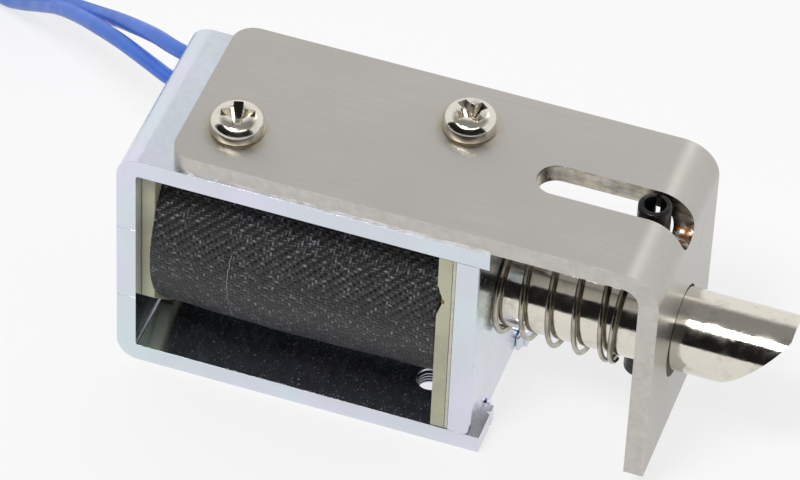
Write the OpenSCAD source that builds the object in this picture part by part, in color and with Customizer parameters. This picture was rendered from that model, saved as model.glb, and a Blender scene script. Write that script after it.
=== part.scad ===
// Push-pull solenoid with a sprung latch bolt, in millimetres.
// The frame is a bent steel strip lying on z = 0. +X points from its closed wall to the bolt's tip,
// and the origin is on the base, midway between the two tapped mounting holes.

/* [Frame] */
// Length of the frame, from the closed wall to the ends of its leaves
frame_l = 38; // [31:0.1:46]
// Height of the frame over both leaves
frame_h = 27; // [22.5:0.1:33]
// Width of the frame strip
frame_w = 20.4; // [17:0.1:25]
// Thickness of the frame strip
frame_t = 2; // [1.6:0.1:2.4]
// Inside radius of the two bends beside the closed wall
frame_bend_r = 0.3; // [0.2:0.1:1]
// How far the leaves stand past the end plate
horn_l = 1; // [0.7:0.1:1.4]

/* [End plate] */
// Thickness of the end plate
plate_t = 2.3; // [1.8:0.1:3]
// Width of the tabs that sit in the notches of the leaves
tab_w = 10.7; // [8:0.1:12]
// Radius of the end plate's outer edges
plate_edge_r = 0.5; // [0.2:0.1:0.9]
// How far the staked corners of the horns are spread over the tabs
stake_w = 1; // [0.6:0.1:1.6]

/* [Coil] */
// Radial space left between the wrapped coil and the leaves, at mid-height
coil_gap = 0.95; // [0.8:0.05:1.5]
// Height of the coil's axis above the frame's mid-height
axis_rise = 0.4; // [0:0.1:0.5]
// Thickness of the cloth tape round the winding
wrap_t = 0.45; // [0.3:0.05:0.7]
// How much the wrapped coil is fatter at its crown than at its ends
wrap_crown = 0.25; // [0.1:0.05:0.4]
// Thickness of the bobbin's flanges
flange_t = 1.4; // [1:0.1:2]
// Wall of the bobbin's tube
bobbin_wall = 0.9; // [0.6:0.1:1.2]
// How far the bobbin's wall-side flange stays behind the frame's edges
flange_inset = 1.6; // [0:0.1:2]
// Length cut off each edge at the lower corners of that flange
flange_cut = 5.2; // [2:0.1:6]
// Thickness of the paper washer between the bobbin and the end plate
washer_t = 0.3; // [0.2:0.1:0.5]
// Wall of the brass guide tube
tube_wall = 0.35; // [0.25:0.05:0.5]

/* [Plunger and pin] */
// Diameter of the plunger
plunger_d = 8.4; // [7:0.1:10.2]
// Travel of the plunger, from the pin's stop to fully pulled in
travel = 6; // [4:0.5:8]
// How far the bolt stands out of the bracket's flange
bolt_out = 11.4; // [9.5:0.1:13.7]
// Flat land left at the tip of the bolt, above its 45 degree bevel
tip_land = 0.4; // [0.2:0.1:1]
// Length of the cone on the plunger's inner end
cone_l = 3.6; // [2.5:0.1:4.5]
// Diameter of the small end of that cone
cone_d = 4.2; // [3:0.1:5]
// Length of the fixed core inside the guide tube
core_l = 12; // [9:0.5:14]
// Diameter of the spigot that rivets the core to the wall
spigot_d = 5; // [4:0.1:6]
// Diameter of the slotted spring pin
pin_d = 3.3; // [2.7:0.1:4]
// Wall of the spring pin
pin_wall = 0.55; // [0.4:0.05:0.7]
// Width of the pin's slit
pin_slit = 0.5; // [0.3:0.1:0.8]
// How far the pin stands above the bracket
pin_proud = 0.2; // [0:0.1:0.6]
// How far the pin stands below the plunger
pin_tail = 2.5; // [2:0.1:4]

/* [Return spring] */
// Diameter of the spring's wire
wire_d = 0.55; // [0.45:0.05:0.65]
// Number of turns, with one closed turn at each end
turns = 6; // [5:0.5:7]
// Length left over when the spring is fully pressed
spring_spare = 2.55; // [1.5:0.05:3]

/* [Latch bracket] */
// Thickness of the bracket's sheet
bracket_t = 2; // [1.5:0.1:2.5]
// Distance from the frame's closed wall to the bracket's edge
bracket_start = 5.2; // [4:0.1:6.5]
// Inside radius of the bracket's bend
bracket_bend_r = 1.8; // [1.2:0.1:2.2]
// Radius of the bracket's two corners over the frame
bracket_corner_r = 2.2; // [1:0.1:3]
// Step between the bracket's sides and the frame's
side_step = 0.2; // [0:0.1:1]
// Height of the flange's lower edge above the base
flange_lift = 2.7; // [1:0.1:4]
// Length of the slot that is left behind the pin when the pin is fully back
slot_spare = 4.15; // [1:0.05:5]
// How far the slot runs down over the bend, from the bracket's top face
slot_drop = 3.9; // [3.6:0.1:5]
// How far the flange's hole sits below the bolt's axis
hole_drop = 0.35; // [0:0.05:0.45]

/* [Screws and tapped holes] */
// Distance from the closed wall to the near pair of holes
hole_near = 10.2; // [9.2:0.1:11.5]
// Distance from the far pair of holes to the ends of the leaves
hole_far = 7; // [6.5:0.1:8]
// Distance of the holes from the frame's centre plane
hole_side = 4.2; // [3.5:0.1:5]
// Diameter of the tapped holes, over the crests of their threads
tapped_d = 2.5; // [2:0.05:3]
// Diameter of the screws over their threads
screw_d = 2.94; // [2.45:0.01:3.5]
// Diameter of the screws' pan heads
head_d = 5.5; // [4.6:0.1:6.2]
// Height of the pan heads
head_h = 2; // [1.6:0.1:2.4]

/* [Leads] */
// Diameter of each lead over its insulation
lead_d = 1.6; // [1.3:0.1:1.8]
// Diameter of the tinned strands at each lead's end
strand_d = 0.9; // [0.6:0.1:1.1]
// Length of those bare ends
strand_l = 5; // [3:0.5:6]

/* [Hidden] */

$fn = 64;

// Clearances
run_gap = 0.05;      // radial, between the plunger and its guide tube
slip_gap = 0.05;     // between pieces that are put together by hand
press_gap = 0.01;    // radial, where a piece is driven into another
loose_gap = 0.1;     // between the bobbin's flanges and the leaves
slot_gap = 0.4;      // each side of the pin in the bracket's slot
bolt_gap = 0.5;      // radial, between the bolt and the flange's hole
screw_gap = 0.23;    // radial, between a screw and the bracket
spring_gap = 0.45;   // radial, between the plunger and the spring
air_gap = 0.3;       // between the cones when the plunger is fully in
cut = 1;             // how far a cutter runs past what it cuts

// Places along X
wall_out = -(hole_near + frame_l - hole_far) / 2;
wall_in = wall_out + frame_t;
leaf_end = wall_out + frame_l;
plate_out = leaf_end - horn_l;
plate_in = plate_out - plate_t;
near_x = wall_out + hole_near;
far_x = leaf_end - hole_far;
spring_solid = (turns + 1) * wire_d;
pin_x = plate_out + spring_solid + spring_spare + travel + pin_d / 2;
flange_in = pin_x + pin_d / 2 + slip_gap;
flange_out = flange_in + bracket_t;
tip_x = flange_out + bolt_out;
bracket_x = wall_out + bracket_start;
slot_x = pin_x - travel - pin_d / 2 - slot_spare;

// Places along Z
axis_z = frame_h / 2 + axis_rise;
leaf_under = frame_h - frame_t;
bracket_z = frame_h + bracket_t;

// Radii about the plunger's axis
plunger_r = plunger_d / 2;
tube_r = plunger_r + run_gap;
bore_r = tube_r + tube_wall + slip_gap;
spool_r = bore_r + bobbin_wall;
wrap_r = frame_h / 2 - frame_t - coil_gap;
wound_r = wrap_r - wrap_crown - wrap_t;
spring_r = plunger_r + spring_gap + wire_d / 2;
hole_r = plunger_r + bolt_gap;

// The bobbin fills the frame from the wall to the washer
spool_x = wall_in;
spool_end = plate_in - washer_t - slip_gap;
wind_x = spool_x + flange_t + slip_gap;
wind_end = spool_end - flange_t - slip_gap;

// The cones: the core's pit leaves a thin rim, and the plunger's cone stops air_gap short of it
pit_rim = 0.3;
pit_x = wall_in + core_l + pit_rim - cone_l;
plunger_x = pit_x + air_gap + travel;

// The leads leave the tape behind the bobbin's wall-side flange, one above the other
splice_x = wall_in + 4;
splice_l = 6;
splice_d = 1.3;
lead_y = frame_w / 2 + lead_d / 2 + loose_gap;
lead_a_yz = [lead_y, axis_z + 3.1];
lead_b_yz = [lead_y, leaf_under - 3.6];

// Routes of the two leads, from where they clear the tape to the coil that they are wound into
lead_a_points = [
  [-18.6, 11.2, 17.1], [-21, 11.4, 17.3], [-23.4, 11.9, 17.4], [-25.4, 12.8, 17.5], [-27.6, 14.1, 17.3],
  [-30.4, 15.9, 16.8], [-33.5, 18.3, 15.5], [-36.9, 21.3, 13.5], [-40.6, 24.8, 10.6], [-44.3, 28.3, 6.9],
  [-47.6, 31.1, 3.8], [-50.1, 33.1, 1.9], [-52.5, 34.9, 1], [-55, 36.7, 0.8], [-57.4, 38.4, 0.8],
  [-59.9, 40.2, 0.8]
];
lead_b_points = [
  [-18.6, 11.2, 21.5], [-21.4, 11.7, 21.4], [-23.6, 12.9, 20.8], [-25.8, 14.5, 20], [-28.5, 16.6, 18.5],
  [-31.7, 19.3, 16.3], [-35.1, 22.4, 13.5], [-38.7, 25.9, 10.3], [-42.6, 29.8, 6.7], [-46, 32.7, 4.1],
  [-48.6, 34.2, 2.9], [-51.2, 35.5, 2.5], [-53.8, 36.9, 2.4], [-56.3, 38.2, 2.4], [-58.8, 39.7, 2.4]
];
lead_shift = [wall_out + 20.6, lead_y - 11.1, 0];     // the points suit a wall at x = -20.6 and y = 11.1
lead_up = [1, 1, 1];      // a direction that neither route takes

// The coil of spare lead: two layers on the base plane, wound inwards by one lead's width a turn
coil_at = [-53.6, 48.8, 0] + lead_shift;
coil_out_r = 11.4;
coil_in_r = 5.8;
tip_a_turn = 54;          // where the tips come out of the turns, in degrees about the coil
tip_b_turn = 132;
tip_inward = 135;         // turned in from the radius, so that the tips lie inside the coil

function unit(v) = v / norm(v);

// A lead's whole route: straight out of its splice at yz, then along its points. The points suit a splice
// just under the first one, and are lifted or lowered with the splice until they reach the coil.
function route(yz, points) =
  let (splice_z = points[0].z - 0.1, layer_z = 1.5 * lead_d)
  concat(
    [for (x = [splice_x, wind_x + 0.65]) [x, yz.x, yz.y]],
    [
      for (p = points)
        p + lead_shift + [0, 0, (yz.y - splice_z) * max(0, (p.z - layer_z) / (splice_z - layer_z))]
    ]
  );

// A round tube along a path, made of rings that stand across it. The path never takes the direction up.
module tube(path, d, sides, up) {
  last = len(path) - 1;
  points = [
    for (i = [0 : last])
      let (
        ahead = unit(path[min(i + 1, last)] - path[max(i - 1, 0)]),
        side = unit(cross(ahead, up)),
        rise = cross(side, ahead)
      )
      for (k = [0 : sides - 1])
        path[i] + d / 2 * (cos(360 * k / sides) * side + sin(360 * k / sides) * rise)
  ];
  walls = [
    for (i = [0 : last - 1], k = [0 : sides - 1])
      let (a = i * sides + k, b = i * sides + (k + 1) % sides)
      [a, b, b + sides, a + sides]
  ];
  near_cap = [for (k = [sides - 1 : -1 : 0]) k];
  far_cap = [for (k = [0 : sides - 1]) last * sides + k];
  polyhedron(points, concat([near_cap], walls, [far_cap]));
}

// Turns the +Z of its children to +X on the plunger's axis, with their z = 0 at x
module on_axis(x) {
  translate([x, 0, axis_z]) rotate([0, 90, 0]) children();
}

// What the corner of a rectangle loses when it is rounded
module corner_waste(r) {
  difference() {
    translate([-cut, -cut]) square(r + cut);
    translate([r, r]) circle(r);
  }
}

// A rectangle with the radii [[lower left, lower right], [upper left, upper right]]
module rounded(from, to, radii) {
  difference() {
    translate(from) square(to - from);
    for (i = [0, 1], j = [0, 1])
      if (radii[j][i] > 0)
        translate([i == 0 ? from.x : to.x, j == 0 ? from.y : to.y])
          mirror([i, 0]) mirror([0, j]) corner_waste(radii[j][i]);
  }
}

// A sheet seen from the side: its children's X and Y become X and Z, and it is w wide about y = 0
module side_profile(w) {
  rotate([90, 0, 0]) translate([0, 0, -w / 2]) linear_extrude(w) children();
}

// A plate standing across X: its children's X and Y become Y and Z
module cross_plate(x, t) {
  translate([x, 0, 0]) rotate([90, 0, 90]) linear_extrude(t) children();
}

// Places its children on the two holes of one leaf. way is 1 for the lower leaf and -1 for the upper.
module at_holes(z, way) {
  for (place = [[near_x, way], [far_x, -way]])
    translate([place.x, place.y * hole_side, z]) children();
}

// The outline of the horn's corner that is spread over a tab, at the notch's side
module stake() {
  side = tab_w / 2 + slip_gap;
  polygon([
    [plate_out + slip_gap, side + frame_t / 4], [plate_out + slip_gap, side - stake_w],
    [plate_out + horn_l * 0.4, side - stake_w], [plate_out + horn_l * 0.75, side],
    [plate_out + horn_l * 0.75, side + frame_t / 4]
  ]);
}

// The bent strip: closed wall, two leaves with a notch each for the end plate's tabs, and staked horns
module frame_yoke() {
  outside_r = frame_bend_r + frame_t;
  color("gainsboro")
    difference() {
      union() {
        difference() {
          side_profile(frame_w)
            difference() {
              rounded([wall_out, 0], [leaf_end, frame_h], [[outside_r, 0], [outside_r, 0]]);
              rounded([wall_in, frame_t], [leaf_end + cut, leaf_under],
                [[frame_bend_r, 0], [frame_bend_r, 0]]);
            }
          translate([plate_in - slip_gap, -tab_w / 2 - slip_gap, -cut])
            cube([frame_l, tab_w + 2 * slip_gap, frame_h + 2 * cut]);
        }
        for (z = [0, leaf_under], side = [0, 1])
          translate([0, 0, z]) mirror([0, side, 0]) linear_extrude(frame_t) stake();
      }
      for (leaf = [[0, 1], [leaf_under, -1]])
        at_holes(leaf.x - cut, leaf.y) cylinder(d = tapped_d, h = frame_t + 2 * cut);
      on_axis(wall_out - cut) cylinder(r = spigot_d / 2 + press_gap, h = frame_t + 2 * cut);
    }
}

// The plate that closes the frame. Its tabs reach through the notches to the leaves' outer faces.
module end_plate() {
  r = plate_edge_r;
  color("lightsteelblue")
    difference() {
      intersection() {
        side_profile(frame_w) rounded([plate_in, 0], [plate_out, frame_h], [[0, r], [0, r]]);
        linear_extrude(frame_h)
          rounded([plate_in, -frame_w / 2], [plate_out, frame_w / 2], [[0, r], [0, r]]);
        cross_plate(plate_in, plate_t)
          union() {
            rounded([-frame_w / 2, frame_t], [frame_w / 2, leaf_under], [[r, r], [r, r]]);
            translate([-tab_w / 2, 0]) square([tab_w, frame_h]);
          }
      }
      on_axis(plate_in - cut) cylinder(r = bore_r, h = plate_t + 2 * cut);
    }
}

// One outline of a bobbin flange, with its lower corners cut off by corner_cut along each edge. It stays
// inset behind the frame's edges, and gap off the leaves.
module flange_outline(corner_cut, inset = 0, gap = loose_gap) {
  y = frame_w / 2 - inset;
  low = frame_t + gap;
  high = leaf_under - gap;
  polygon([
    [-y, low + corner_cut], [-y + corner_cut, low], [y - corner_cut, low], [y, low + corner_cut],
    [y, high], [-y, high]
  ]);
}

// The moulded bobbin: a tube between two flanges that fill the frame
module bobbin() {
  color("beige")
    difference() {
      union() {
        cross_plate(spool_x, flange_t) flange_outline(flange_cut, flange_inset, frame_bend_r);
        cross_plate(spool_end - flange_t, flange_t) flange_outline(slip_gap);
        on_axis(spool_x) cylinder(r = spool_r, h = spool_end - spool_x);
      }
      on_axis(spool_x - cut) cylinder(r = bore_r, h = spool_end - spool_x + 2 * cut);
    }
}

// The paper washer that keeps the bobbin off the end plate
module paper_washer() {
  color("wheat")
    difference() {
      cross_plate(plate_in - washer_t, washer_t) flange_outline(slip_gap);
      on_axis(plate_in - washer_t - cut) cylinder(r = bore_r, h = washer_t + 2 * cut);
    }
}

// The copper winding on the bobbin's tube
module winding() {
  color("chocolate")
    on_axis(wind_x)
      difference() {
        cylinder(r = wound_r, h = wind_end - wind_x);
        translate([0, 0, -cut]) cylinder(r = spool_r + slip_gap, h = wind_end - wind_x + 2 * cut);
      }
}

// A bar along X at [y, z], used for a splice, its hole and the tape over it
module splice_bar(yz, x, l, r) {
  translate([x, yz.x, yz.y]) rotate([0, 90, 0]) cylinder(r = r, h = l, $fn = 32);
}

// The black cloth tape round the winding: crowned, and drawn tight over the two splices
module coil_wrap() {
  crown_x = wind_x + (wind_end - wind_x) / 3;
  rim = 0.2;
  color("dimgray")
    difference() {
      hull() {
        on_axis(wind_x) cylinder(r = wrap_r - wrap_crown, h = rim);
        on_axis(crown_x) cylinder(r = wrap_r, h = rim);
        on_axis(wind_end - rim) cylinder(r = wrap_r - wrap_crown, h = rim);
        for (yz = [lead_a_yz, lead_b_yz])
          splice_bar(yz, wind_x, splice_x + splice_l - wind_x, lead_d / 2 + wrap_t);
      }
      on_axis(wind_x - cut) cylinder(r = wound_r + slip_gap, h = wind_end - wind_x + 2 * cut);
      for (yz = [lead_a_yz, lead_b_yz]) {
        splice_bar(yz, wind_x - cut, splice_x - wind_x + cut, lead_d / 2 + slip_gap);
        splice_bar(yz, splice_x - slip_gap, splice_l + 2 * slip_gap, splice_d / 2 + slip_gap);
      }
    }
}

// The soldered splices between the winding and the leads, in their sleeves under the tape
module splice_a() {
  color("saddlebrown") splice_bar(lead_a_yz, splice_x, splice_l, splice_d / 2);
}

module splice_b() {
  color("saddlebrown") splice_bar(lead_b_yz, splice_x, splice_l, splice_d / 2);
}

// The brass tube that the plunger slides in, from the wall to the end plate's face
module guide_tube() {
  l = plate_out - wall_in;
  color("goldenrod")
    on_axis(wall_in)
      difference() {
        cylinder(r = tube_r + tube_wall, h = l);
        translate([0, 0, -cut]) cylinder(r = tube_r, h = l + 2 * cut);
      }
}

// The fixed core: a conical pit faces the plunger, and its spigot is riveted over outside the wall
module fixed_core() {
  head_r = spigot_d / 2 + 1.1;
  rivet_h = 0.6;
  color("silver")
    difference() {
      union() {
        on_axis(wall_in) cylinder(r = plunger_r, h = core_l);
        on_axis(wall_out) cylinder(d = spigot_d, h = frame_t + cut);
        on_axis(wall_out - rivet_h) cylinder(r1 = head_r - rivet_h, r2 = head_r, h = rivet_h);
      }
      on_axis(pit_x) cylinder(d1 = cone_d, d2 = plunger_d, h = cone_l);
    }
}

// The plunger and bolt: inner cone, hole for the cross pin, and a 45 degree bevel that faces down
module plunger() {
  land_z = axis_z + plunger_r - tip_land;
  low_z = axis_z - plunger_r - cut;
  color("lightslategray")
    difference() {
      union() {
        on_axis(plunger_x) cylinder(d1 = cone_d, d2 = plunger_d, h = cone_l);
        on_axis(plunger_x + cone_l) cylinder(r = plunger_r, h = tip_x - plunger_x - cone_l);
      }
      side_profile(plunger_d + 2 * cut)
        polygon([
          [tip_x, land_z], [tip_x + cut, land_z], [tip_x + cut, low_z], [tip_x - land_z + low_z, low_z]
        ]);
      translate([pin_x, 0, low_z]) cylinder(r = pin_d / 2 + press_gap, h = plunger_d + 2 * cut);
    }
}

// The slotted spring pin through the plunger. It rests on the flange at the end of the outward stroke.
module roll_pin() {
  foot = axis_z - plunger_r - pin_tail;
  l = bracket_z + pin_proud - foot;
  r = pin_d / 2;
  chamfer = 0.3;
  color("dimgray")
    translate([pin_x, 0, foot])
      difference() {
        rotate_extrude()
          polygon([[0, 0], [r - chamfer, 0], [r, chamfer], [r, l - chamfer], [r - chamfer, l], [0, l]]);
        translate([0, 0, -cut]) cylinder(r = r - pin_wall, h = l + 2 * cut);
        translate([-pin_slit / 2, 0, -cut]) cube([pin_slit, pin_d, l + 2 * cut]);
      }
}

// Distance of the wire's middle from the end plate after t turns: a closed turn at each end, an even pitch
// between. The closed turns lie flat, and lift only to pass over their own ends.
function spring_rise(t, l) =
  t < 1 ? wire_d * pow(t, 8) :
  t > turns - 1 ? l - wire_d * pow(turns - t, 8) :
  wire_d + (l - 2 * wire_d) * (t - 1) / (turns - 2);

// The return spring, between the end plate and the pin
module return_spring() {
  steps = 24;             // straight pieces in a turn
  start = 248;            // the angle of the wire's end, from +Y towards +Z
  x0 = plate_out + slip_gap / 2 + wire_d / 2;
  l = pin_x - pin_d / 2 - slip_gap - wire_d / 2 - x0;
  color("darkgray")
    tube(
      [
        for (i = [0 : steps * turns])
          let (t = i / steps, a = start + 360 * t)
          [x0 + spring_rise(t, l), spring_r * cos(a), axis_z + spring_r * sin(a)]
      ],
      wire_d, 8, [1, 0, 0]
    );
}

// The latch bracket: a flat top on the frame, a slot for the pin, and a flange with the bolt's hole
module latch_bracket() {
  outside_r = bracket_bend_r + bracket_t;
  bend_x = flange_in - bracket_bend_r;
  slot_r = pin_d / 2 + slot_gap;
  w = frame_w - 2 * side_step;
  color("darkgray")
    difference() {
      side_profile(w)
        difference() {
          rounded([bracket_x, flange_lift], [flange_out, bracket_z], [[0, 0], [0, outside_r]]);
          rounded([bracket_x - cut, flange_lift - cut], [flange_in, frame_h], [[0, 0], [0, bracket_bend_r]]);
        }
      translate([0, 0, frame_h - cut])
        linear_extrude(bracket_t + 2 * cut)
          for (side = [0, 1])
            translate([bracket_x, 0]) mirror([0, side])
              translate([0, -w / 2]) corner_waste(bracket_corner_r);
      translate([slot_x + slot_r, 0, frame_h - cut]) cylinder(r = slot_r, h = bracket_t + 2 * cut);
      translate([slot_x + slot_r, -slot_r, frame_h - cut])
        cube([bend_x - slot_x - slot_r, 2 * slot_r, bracket_t + 2 * cut]);
      translate([bend_x, 0, bracket_z - slot_drop + slot_r]) {
        translate([-cut / 2, -slot_r, 0]) cube([outside_r + cut, 2 * slot_r, slot_drop]);
        rotate([0, 90, 0]) cylinder(r = slot_r, h = outside_r + cut);
      }
      on_axis(flange_in - cut)
        translate([hole_drop, 0, 0]) cylinder(r = hole_r, h = bracket_t + 2 * cut);
      at_holes(frame_h - cut, -1) cylinder(r = screw_d / 2 + screw_gap, h = bracket_t + 2 * cut);
    }
}

// A pan-head screw with a cross recess, standing with its head's underside on z = 0. Its shank is as thick as
// its threads in the bracket, and as their roots in the tapped leaf.
module pan_screw(turn) {
  recess_w = 0.8;
  recess_l = 3;
  recess_h = 1.2;
  head_r = head_d / 2;
  edge_r = head_h * 0.6;
  translate([0, 0, -bracket_t]) cylinder(d = screw_d, h = bracket_t + cut / 2);
  translate([0, 0, -bracket_t - frame_t]) cylinder(r = tapped_d / 2 - press_gap, h = frame_t + cut / 2);
  difference() {
    rotate_extrude()
      rounded([0, 0], [head_r, head_h], [[0, 0], [0, edge_r]]);
    rotate(turn)
      for (arm = [0, 90])
        rotate(arm)
          translate([-recess_l / 2, -recess_w / 2, head_h - recess_h])
            cube([recess_l, recess_w, recess_h + cut]);
  }
}

module screw_left() {
  color("lightgray") translate([near_x, -hole_side, bracket_z]) pan_screw(17);
}

module screw_right() {
  color("lightgray") translate([far_x, hole_side, bracket_z]) pan_screw(50);
}

// The two leads, from their splices to the coil of spare lead
module lead_wire_a() {
  color("royalblue") tube(route(lead_a_yz, lead_a_points), lead_d, 8, lead_up);
}

module lead_wire_b() {
  color("royalblue") tube(route(lead_b_yz, lead_b_points), lead_d, 8, lead_up);
}

// The outer shape of the leads' turns, wound together in two layers
module lead_coil() {
  color("royalblue")
    translate(coil_at)
      rotate_extrude()
        translate([coil_in_r, 0]) square([coil_out_r - coil_in_r, 2 * lead_d]);
}

// A lead's bare end. It comes out of the turns at an angle about the coil, on a layer, and slopes by dip.
module lead_tip(turn, layer_z, dip) {
  color("silver")
    translate(coil_at)
      rotate(turn)
        translate([coil_in_r, 0, layer_z])
          rotate(-tip_inward) rotate([0, 90 + dip, 0])
            cylinder(d = strand_d, h = strand_l);
}

module lead_tip_a() {
  lead_tip(tip_a_turn, strand_d / 2 + 0.3, 0);
}

module lead_tip_b() {
  lead_tip(tip_b_turn, 1.5 * lead_d, 20);
}

frame_yoke();
end_plate();
bobbin();
paper_washer();
winding();
coil_wrap();
splice_a();
splice_b();
guide_tube();
fixed_core();
plunger();
roll_pin();
return_spring();
latch_bracket();
screw_left();
screw_right();
lead_wire_a();
lead_wire_b();
lead_coil();
lead_tip_a();
lead_tip_b();
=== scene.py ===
"""The looks of a push-pull solenoid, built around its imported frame. Lengths are in metres."""

import math

import bmesh
import bpy
from bpy.props import FloatProperty, FloatVectorProperty, PointerProperty
from bpy.types import Operator, Panel, PropertyGroup
from mathutils import Matrix, Vector


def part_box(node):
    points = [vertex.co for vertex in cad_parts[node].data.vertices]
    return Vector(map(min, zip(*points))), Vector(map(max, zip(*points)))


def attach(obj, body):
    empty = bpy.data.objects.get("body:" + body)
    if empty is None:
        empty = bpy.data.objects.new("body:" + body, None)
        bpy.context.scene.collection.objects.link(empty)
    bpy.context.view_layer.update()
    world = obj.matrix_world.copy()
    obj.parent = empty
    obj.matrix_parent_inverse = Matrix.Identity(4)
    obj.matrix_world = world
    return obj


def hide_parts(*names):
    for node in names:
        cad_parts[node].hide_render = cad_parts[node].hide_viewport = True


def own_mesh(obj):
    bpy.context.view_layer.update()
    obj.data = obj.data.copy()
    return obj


bl_info = {
    "name": "Push-pull solenoid",
    "version": (1, 0, 0),
    "blender": (4, 5, 0),
    "location": "3D View > Sidebar > Solenoid",
    "description": "Builds the visible pieces of a push-pull solenoid around its packed frame",
    "category": "Add Mesh",
}

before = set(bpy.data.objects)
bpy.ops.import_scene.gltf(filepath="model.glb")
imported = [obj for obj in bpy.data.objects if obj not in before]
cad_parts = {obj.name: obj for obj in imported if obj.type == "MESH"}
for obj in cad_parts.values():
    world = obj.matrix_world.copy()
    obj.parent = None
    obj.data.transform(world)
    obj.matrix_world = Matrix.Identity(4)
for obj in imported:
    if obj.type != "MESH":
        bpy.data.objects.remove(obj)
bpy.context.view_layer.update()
MM = 0.001


def low(node):
    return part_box(node)[0]


def high(node):
    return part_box(node)[1]


def middle(node):
    return (low(node) + high(node)) / 2


# Places that the frame gives
WALL_OUT = low("frame_yoke").x
LEAF_END = high("frame_yoke").x
FRAME_TOP = high("frame_yoke").z
FRAME_SIDE = high("frame_yoke").y
PLATE_IN = low("end_plate").x
PLATE_OUT = high("end_plate").x
BRACKET_START = low("latch_bracket").x
BRACKET_END = high("latch_bracket").x
BRACKET_TOP = high("latch_bracket").z
BRACKET_FOOT = low("latch_bracket").z
BRACKET_SIDE = high("latch_bracket").y
AXIS_Z = middle("guide_tube").z
PLUNGER_R = (high("plunger").z - low("plunger").z) / 2
PLUNGER_BACK = low("plunger").x
BOLT_TIP = high("plunger").x
PIN_X = middle("roll_pin").x
PIN_R = high("roll_pin").x - PIN_X
PIN_FOOT = low("roll_pin").z
PIN_TOP = high("roll_pin").z

# Sizes that the boxes don't give
SHEET = 2 * MM
FRAME_BEND_R = 0.3 * MM
TAB_HALF = 5.35 * MM
NOTCH_GAP = 0.05 * MM
STAKE_W = 1 * MM
HOLE_SIDE = 4.2 * MM
TAPPED_R = 1.25 * MM
BRACKET_BEND_R = 1.8 * MM
BRACKET_CORNER_R = 2.2 * MM
SLOT_R = 2.05 * MM
SLOT_START = 18.65 * MM
SLOT_DROP = 3.9 * MM
BOLT_HOLE_R = 4.7 * MM
BOLT_HOLE_DROP = 0.35 * MM
SCREW_HOLE_R = 1.7 * MM
WIRE_R = 0.275 * MM
SPRING_R = 4.925 * MM
TUBE_R = 4.25 * MM
LEAD_R = 0.8 * MM
FACING_X = Matrix(((0, 0, 1), (1, 0, 0), (0, 1, 0))).to_4x4()      # a local (x, y, z) lands at (z, x, y)
FACING_Y = Matrix(((1, 0, 0), (0, 0, 1), (0, 1, 0))).to_4x4()      # a local (x, y, z) lands at (x, z, y)


# ---------------------------------------------------------------- sizes and colours that a user may change


class SolenoidSizes(PropertyGroup):
    """Small sizes of the finish, in metres"""

    sheet_edge: FloatProperty(
        name="Sheet edge", description="Radius of the sheet metal's softened edges",
        default=0.16 * MM, min=0.02 * MM, max=0.4 * MM, subtype="DISTANCE", unit="LENGTH")
    plate_edge: FloatProperty(
        name="Plate edge", description="Radius of the end plate's outer edges",
        default=0.5 * MM, min=0.05 * MM, max=0.9 * MM, subtype="DISTANCE", unit="LENGTH")
    weave: FloatProperty(
        name="Weave", description="Spacing of the threads in the cloth tape",
        default=0.36 * MM, min=0.2 * MM, max=1 * MM, subtype="DISTANCE", unit="LENGTH")
    thread_pitch: FloatProperty(
        name="Thread pitch", description="Pitch of the threads in the tapped holes",
        default=0.5 * MM, min=0.3 * MM, max=0.8 * MM, subtype="DISTANCE", unit="LENGTH")
    lead_length: FloatProperty(
        name="Lead length", description="Length of each lead from its tape to its bare end",
        default=200 * MM, min=150 * MM, max=260 * MM, subtype="DISTANCE", unit="LENGTH")


class SolenoidColours(PropertyGroup):
    """Base colours of the finishes, linear"""

    zinc: FloatVectorProperty(
        name="Zinc", description="Zinc plating on the frame and end plate",
        default=(0.70, 0.73, 0.80), min=0, max=1, subtype="COLOR")
    stainless: FloatVectorProperty(
        name="Stainless", description="Brushed steel of the latch bracket",
        default=(0.50, 0.48, 0.45), min=0, max=1, subtype="COLOR")
    nickel: FloatVectorProperty(
        name="Nickel", description="Plating of the bolt and the screws",
        default=(0.72, 0.68, 0.60), min=0, max=1, subtype="COLOR")
    spring: FloatVectorProperty(
        name="Spring steel", description="Drawn wire of the return spring",
        default=(0.46, 0.43, 0.36), min=0, max=1, subtype="COLOR")
    bobbin: FloatVectorProperty(
        name="Bobbin", description="Moulded nylon of the bobbin",
        default=(0.60, 0.60, 0.43), min=0, max=1, subtype="COLOR")
    cloth: FloatVectorProperty(
        name="Cloth tape", description="Woven tape round the winding",
        default=(0.010, 0.010, 0.012), min=0, max=1, subtype="COLOR")
    lead: FloatVectorProperty(
        name="Lead", description="Insulation of the two leads",
        default=(0.07, 0.19, 0.70), min=0, max=1, subtype="COLOR")


def sizes():
    return bpy.context.scene.solenoid_sizes


def colours():
    return bpy.context.scene.solenoid_colours


# ---------------------------------------------------------------- shaders


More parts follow.
